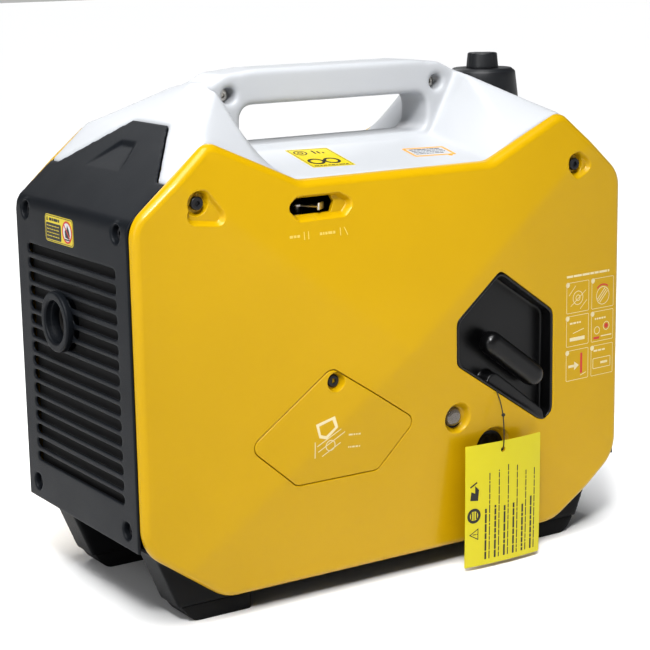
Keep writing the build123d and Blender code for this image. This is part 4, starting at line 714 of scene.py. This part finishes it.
# Printed start guide on the near panel: six framed pictures in two columns.
GUIDE_COLUMNS, GUIDE_ROWS, GUIDE_CELL = (181.5, 213.5), (215.5, 184.5, 152.5), 28.5
guide, guide_red = dashes(181.5, 249.5, 236, 249.5, 2.0, 11), []
for low_v in GUIDE_ROWS:
    for left_u in GUIDE_COLUMNS:
        guide.append(frame_box(left_u, low_v, left_u + GUIDE_CELL, low_v + GUIDE_CELL, 0.45, 1.2))
        guide.append(disc(left_u + 1.5, low_v + GUIDE_CELL - 2.0, 2.4))
guide += [ring(196, 229, 6.2, 0.6), ring(196, 229, 2.6, 0.6), bar(187, 222, 206, 235, 0.5),
          bar(184.5, 232, 193, 240.5, 0.5), bar(199, 218.5, 207.5, 226, 0.5)]
knob_u, knob_v, arrow_radius, arrow_step = 228, 227, 10.5, 0.35
guide.append(ring(knob_u, knob_v, 8.2, 0.6))
guide += [bar(knob_u - 5.5 + k, knob_v - 4.5 - k, knob_u + 4.5 + k, knob_v + 5.5 - k, 0.7)
          for k in (-1.6, 0, 1.6)]
guide_red += [bar(knob_u + arrow_radius * cos(a), knob_v + arrow_radius * sin(a),
                  knob_u + arrow_radius * cos(a + arrow_step),
                  knob_v + arrow_radius * sin(a + arrow_step), 1.4)
              for a in np.linspace(0.9, 2.0, 4)]
guide += dashes(186, 206, 200, 206, 1.6, 4)
guide += [bar(186, 191, 205, 191, 3.4), bar(190, 196.5, 204, 199.5, 0.6)]
guide += dashes(218, 206, 232, 206, 1.6, 4)
guide += [ring(221, 195, 3.4, 0.6), bar(226, 189, 240, 189, 1.0), ring(233, 198, 3.8, 0.6)]
guide_red += [disc(233, 198, 2.4), bar(216.5, 188, 224, 188, 2.2)]
guide += [bar(184.5, 166, 194, 166, 2.4), [[(192, 162), (198, 166), (192, 170)]],
          bar(200, 156, 207, 158, 0.6)]
guide_red += [bar(201, 158, 201, 177, 2.6)]
guide += dashes(217, 176, 232, 176, 1.6, 5)
guide += [frame_box(216, 159, 239, 169, 0.6), bar(226, 164, 235, 164, 2.2)]
islands("start_guide", guide, on_panel, WHITE_INK)
islands("start_guide_red", guide_red, on_panel, RED_INK)

# Funnel picture on the service door, and the two choke marks.
funnel = [
    [[(-94, 158), (-76, 163), (-73, 153), (-84, 144), (-91, 146)],
     [(-91, 156), (-78.5, 160), (-76, 153.5), (-84.5, 147), (-89.5, 148.5)]],
    bar(-93, 139, -70, 151, 0.8), bar(-92, 134, -66, 148, 0.8), bar(-88, 129.5, -70, 139, 0.8),
    bar(-95, 129, -95, 143, 0.8), ring(-80, 138, 4.5, 0.8),
]
funnel += dashes(-62, 144.5, -50, 143.5, 1.4, 4) + dashes(-62, 133.5, -50, 132.5, 1.4, 4)
islands("oil_mark", funnel, on_panel, WHITE_INK, body="service_door")
# The choke marks are embossed in the panel; their paler yellow is a painted highlight on the
# relief.
choke_marks = dashes(-113, 316.8, -103, 316.8, 2.2, 4) + dashes(-84, 316.8, -68, 316.8, 2.2, 5)
choke_marks += [bar(-99, 313.5, -99, 320, 0.8), bar(-95, 313.5, -95, 320, 0.8),
                bar(-64, 313.5, -64, 320, 0.8), bar(-57, 313.5, -60, 320, 0.8)]
islands("choke_marks", choke_marks, on_panel, EMBOSS_HIGHLIGHT_YELLOW)

# Heat label on the rear cover. Each layer stands a little further off than the one below.
STICKER, PRINT, OVERPRINT, TOP_PRINT = 0.12, 0.2, 0.28, 0.34
on_rear = dropped_on(rear_skin, Vector((-0.252, 0, 0)), Vector((0, -1, 0)), Vector((0, 0, 1)),
                     Vector((-1, 0, 0)))
islands("heat_label", [[panel_box(-44.5, 308, 10, 331, 4)]], on_rear, LABEL_YELLOW, STICKER)
heat_black = [[panel_box(-42.5, 310, -13.5, 324, 1.5)],
              frame_box(-43.8, 308.7, 9.3, 330.3, 0.5, 3.6)]
heat_black += dashes(-36, 327, -16, 327, 2.4, 9) + triangle_sign(-40, 326.8, 2.4, 0, 0.5)
islands("heat_label_black", heat_black, on_rear, INK, PRINT)
heat_lines = [d for v in (321.5, 318.6, 315.7, 312.8) for d in dashes(-41, v, -17, v, 0.7, 6)]
islands("heat_label_lines", heat_lines, on_rear, LABEL_YELLOW, OVERPRINT)
disc_u, disc_v = -1.5, 319.5
islands("heat_label_disc", [disc(disc_u, disc_v, 9.0)], on_rear, LABEL_WHITE, PRINT)
islands("heat_label_ring", [ring(disc_u, disc_v, 8.6, 1.5), bar(-7.4, 325.4, 4.4, 313.6, 1.2)],
        on_rear, RED_INK, TOP_PRINT)
flame = [[[(-5, 315), (-6, 320), (-3.5, 323), (-2.5, 320.5), (-1, 325.5), (2, 321.5), (3.5, 317),
           (1.5, 314)]], bar(-6.5, 313.2, 3.5, 313.2, 1.0)]
islands("heat_label_flame", flame, on_rear, INK, OVERPRINT)

# Square noise label and small framed label on the deck.
label_turn = radians(-4)
across = Vector((cos(label_turn), sin(label_turn), 0))
along = Vector((-sin(label_turn), cos(label_turn), 0))
upward = Vector((0, 0, 1))
on_deck = dropped_on(cover_skin, Vector((-0.0416, -0.0576, 0.40)), across, along, upward)
islands("deck_label", [[panel_box(-20.5, -25.5, 20.5, 25.5, 0.8)]], on_deck, LABEL_YELLOW, 0.15)
deck_ink = [ring(-11, 15, 5.5, 1.3), ring(-11, 15, 2.2, 1.2),
            frame_box(-19.3, -24.3, 19.3, 24.3, 0.5)]
deck_ink += [bar(2, 11, 2, 20, 1.8), bar(6, 11, 6, 17, 1.8), bar(10, 11, 10, 14, 1.8)]
deck_ink += [ring(-9, -10, 6.4, 2.6), ring(6, -10, 6.4, 2.6)]
deck_ink += dashes(-17, -21.5, 17, -21.5, 1.6, 6)
islands("deck_label_ink", deck_ink, on_deck, INK, 0.22)
by_fuel_cap = dropped_on(cover_skin, Vector((0.0651, -0.0684, 0.40)), across, along, upward)
islands("notice_label", [frame_box(-21, -12, 21, 12, 2.2, 1.5), disc(14, -13, 2.2)], by_fuel_cap,
        ORANGE_INK, 0.15)
notice_lines = dashes(-16, 7, 16, 7, 1.6, 5)
for v, end_u in ((3, 16), (-1, 16), (-5, 12)):
    notice_lines += dashes(-16, v, end_u, v, 1.0, 5)
islands("notice_label_lines", notice_lines, by_fuel_cap, IRON, 0.15)

# ---- Exhaust end and painted shade behind the slats --------------------------------------
ring_low, ring_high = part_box("exhaust_ring")
OUTLET_U, OUTLET_V = -(ring_low[1] + ring_high[1]) / 2 / MM, (ring_low[2] + ring_high[2]) / 2 / MM
OUTLET_HOLE = 25.5
BACKING_X = -0.2465


def behind_slats(u, v):
    """Place a point on the plane of the painted-shade sheet behind the slats."""
    return Vector((BACKING_X, -u * MM, v * MM)), Vector((-1, 0, 0))


# A near-black sheet behind the slats is painted shade, so the gaps between the slats read dark.
slat_shade_sheet = [[panel_box(-86, 104, 86, 304, 4), circle(OUTLET_U, OUTLET_V, OUTLET_HOLE) / MM]]
islands("painted_slat_shade_sheet", slat_shade_sheet, behind_slats, SLAT_SHADE_BLACK, 0.0, 1.0)

# ---- Hang tag and its string -------------------------------------------------------------
CARD_WIDTH, CARD_HEIGHT = 84, 112
CARD_LEFT, CARD_FRONT, CARD_FOOT = 54, -137.8, 4  # where its foot's left corner hangs
SIDE_CURL, FOOT_CURL = 2.4, 1.6


def on_card(u, v):
    """Front face of the hanging card, which curls back a little at its sides and foot."""
    half = CARD_WIDTH / 2
    curl = SIDE_CURL * ((u - half) / half) ** 2 + FOOT_CURL * (1 - v / CARD_HEIGHT) ** 2
    spot = Vector(((CARD_LEFT + u) * MM, (CARD_FRONT + curl) * MM, (CARD_FOOT + v) * MM))
    return spot, Vector((0, -1, 0))


card_corners = [(0, 0), (CARD_WIDTH, 0), (CARD_WIDTH, CARD_HEIGHT), (0, CARD_HEIGHT)]
card_outline = rounded(card_corners, 0.8, steps=3) / MM
card = islands("tag_card", [[card_outline, circle(40, 104, 2.5) / MM]], on_card, CARD, 0.0, 0.5)
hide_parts("hang_tag")
tag_ink = []
TEXT_COLUMNS, FIRST_COLUMN, COLUMN_SPACING = 6, 21.5, 10.3
for k in range(TEXT_COLUMNS):
    u = FIRST_COLUMN + COLUMN_SPACING * k
    tag_ink += dashes(u, 5, u, 50 + 5 * float(rng.uniform(0, 1)), 1.9, 11)
    tag_ink += dashes(u + 4.0, 5, u + 4.0, 78 + 14 * float(rng.uniform(0, 1)), 1.05, 9)
tag_ink += triangle_sign(10.5, 30, 6.4, pi / 2, 0.8)
tag_ink += [ring(9, 47.5, 5.6, 2.6), bar(9, 43, 9, 52, 0.8), bar(6.5, 44.5, 6.5, 50.5, 1.2),
            bar(11.5, 44.5, 11.5, 50.5, 1.2)]
tag_ink += [[[(5, 62), (13, 61), (14, 71), (10, 75), (10, 68), (6, 70)]], bar(5, 74, 12, 78, 1.4)]
islands("tag_print", tag_ink, on_card, INK, 0.06, 0.02)

string_curve = bpy.data.curves.new("tag_cord", "CURVE")
string_curve.dimensions = "3D"
string_curve.bevel_depth = 0.0005
string_curve.bevel_resolution = 3
string_curve.resolution_u = 16
line = string_curve.splines.new("NURBS")
string_route = [
    (0.0966, -0.1225, 0.1600), (0.0962, -0.1275, 0.1565), (0.0952, -0.1362, 0.1400),
    (0.0946, -0.1383, 0.1200), (0.0940, -0.1383, 0.1110), (0.0940, -0.1374, 0.1072),
    (0.0940, -0.1358, 0.1070),
]
line.points.add(len(string_route) - 1)
for point, place in zip(line.points, string_route):
    point.co = (*place, 1)
line.order_u = 3
line.use_endpoint_u = True
cord = bpy.data.objects.new("tag_cord", string_curve)
bpy.context.scene.collection.objects.link(cord)
string_curve.materials.append(STRING)
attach(cord, "frame")
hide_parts("tag_string")


def knot(name, center, radius):
    """A small pulled knot: one closed strand wound three times round itself."""
    data = bpy.data.curves.new(name, "CURVE")
    data.dimensions = "3D"
    data.bevel_depth = 0.00055
    data.bevel_resolution = 2
    strand = data.splines.new("NURBS")
    turns = np.linspace(0, 2 * pi, 24, endpoint=False)
    strand.points.add(len(turns) - 1)
    for point, t in zip(strand.points, turns):
        x, y = sin(t) + 2 * sin(2 * t), cos(t) - 2 * cos(2 * t)
        point.co = (center[0] + x * radius / 3, center[1] - sin(3 * t) * radius / 3,
                    center[2] + y * radius / 2.2, 1)
    strand.order_u = 3
    strand.use_cyclic_u = True
    piece = bpy.data.objects.new(name, data)
    bpy.context.scene.collection.objects.link(piece)
    data.materials.append(STRING)
    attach(piece, "frame")
    return piece


knots = [knot("string_knot", (0.0951, -0.1364, 0.1385), 0.0014),
         knot("string_end_knot", (0.0940, -0.1352, 0.1070), 0.0010)]

# ---- Floor and light ---------------------------------------------------------------------
bpy.ops.mesh.primitive_plane_add(size=30, location=(0, 0, 0))
floor = bpy.context.object
floor.name = "floor"
floor.data.materials.append(material("floor", (0.93, 0.93, 0.93), 0.9))

world = bpy.data.worlds.new("studio")
bpy.context.scene.world = world
world.use_nodes = True
sky = world.node_tree.nodes
sky_links = world.node_tree.links
direction = sky.new("ShaderNodeTexCoord")
parts = sky.new("ShaderNodeSeparateXYZ")
fade = sky.new("ShaderNodeValToRGB")
horizon, overhead = fade.color_ramp.elements
horizon.position, horizon.color = 0.02, (0.65, 0.65, 0.65, 1)
overhead.position, overhead.color = 0.30, (0.10, 0.104, 0.112, 1)
sky_links.new(direction.outputs["Generated"], parts.inputs["Vector"])
sky_links.new(parts.outputs["Z"], fade.inputs["Fac"])
sky_links.new(fade.outputs["Color"], sky["Background"].inputs["Color"])
sky["Background"].inputs["Strength"].default_value = 0.6


def add_light(name, kind, energy, position, **settings):
    """A light at a position (m) that points at the middle of the machine."""
    data = bpy.data.lights.new(name, kind)
    data.energy = energy
    for setting, value in settings.items():
        setattr(data, setting, value)
    light = bpy.data.objects.new(name, data)
    light.location = position
    light.rotation_euler = (Vector(position) - AIM).to_track_quat("Z", "Y").to_euler()
    bpy.context.scene.collection.objects.link(light)


AIM = Vector((0, 0, 0.3))
add_light("overhead", "SUN", 2.6, (-0.25, -0.22, 1.23), angle=radians(40))
add_light("key", "SPOT", 210, (-1.1, -1.5, 2.1), spot_size=0.36, spot_blend=0.6,
          shadow_soft_size=0.3)
add_light("left", "AREA", 14, (-2.4, -0.9, 1.3), shape="RECTANGLE", size=1.0, size_y=1.8)
add_light("back", "AREA", 16, (0.5, 2.2, 2.0), shape="RECTANGLE", size=2.4, size_y=1.0)
bpy.context.scene.view_settings.view_transform = "Standard"
bpy.context.scene.view_settings.look = "Medium High Contrast"
bpy.context.scene.view_settings.exposure = 0.15
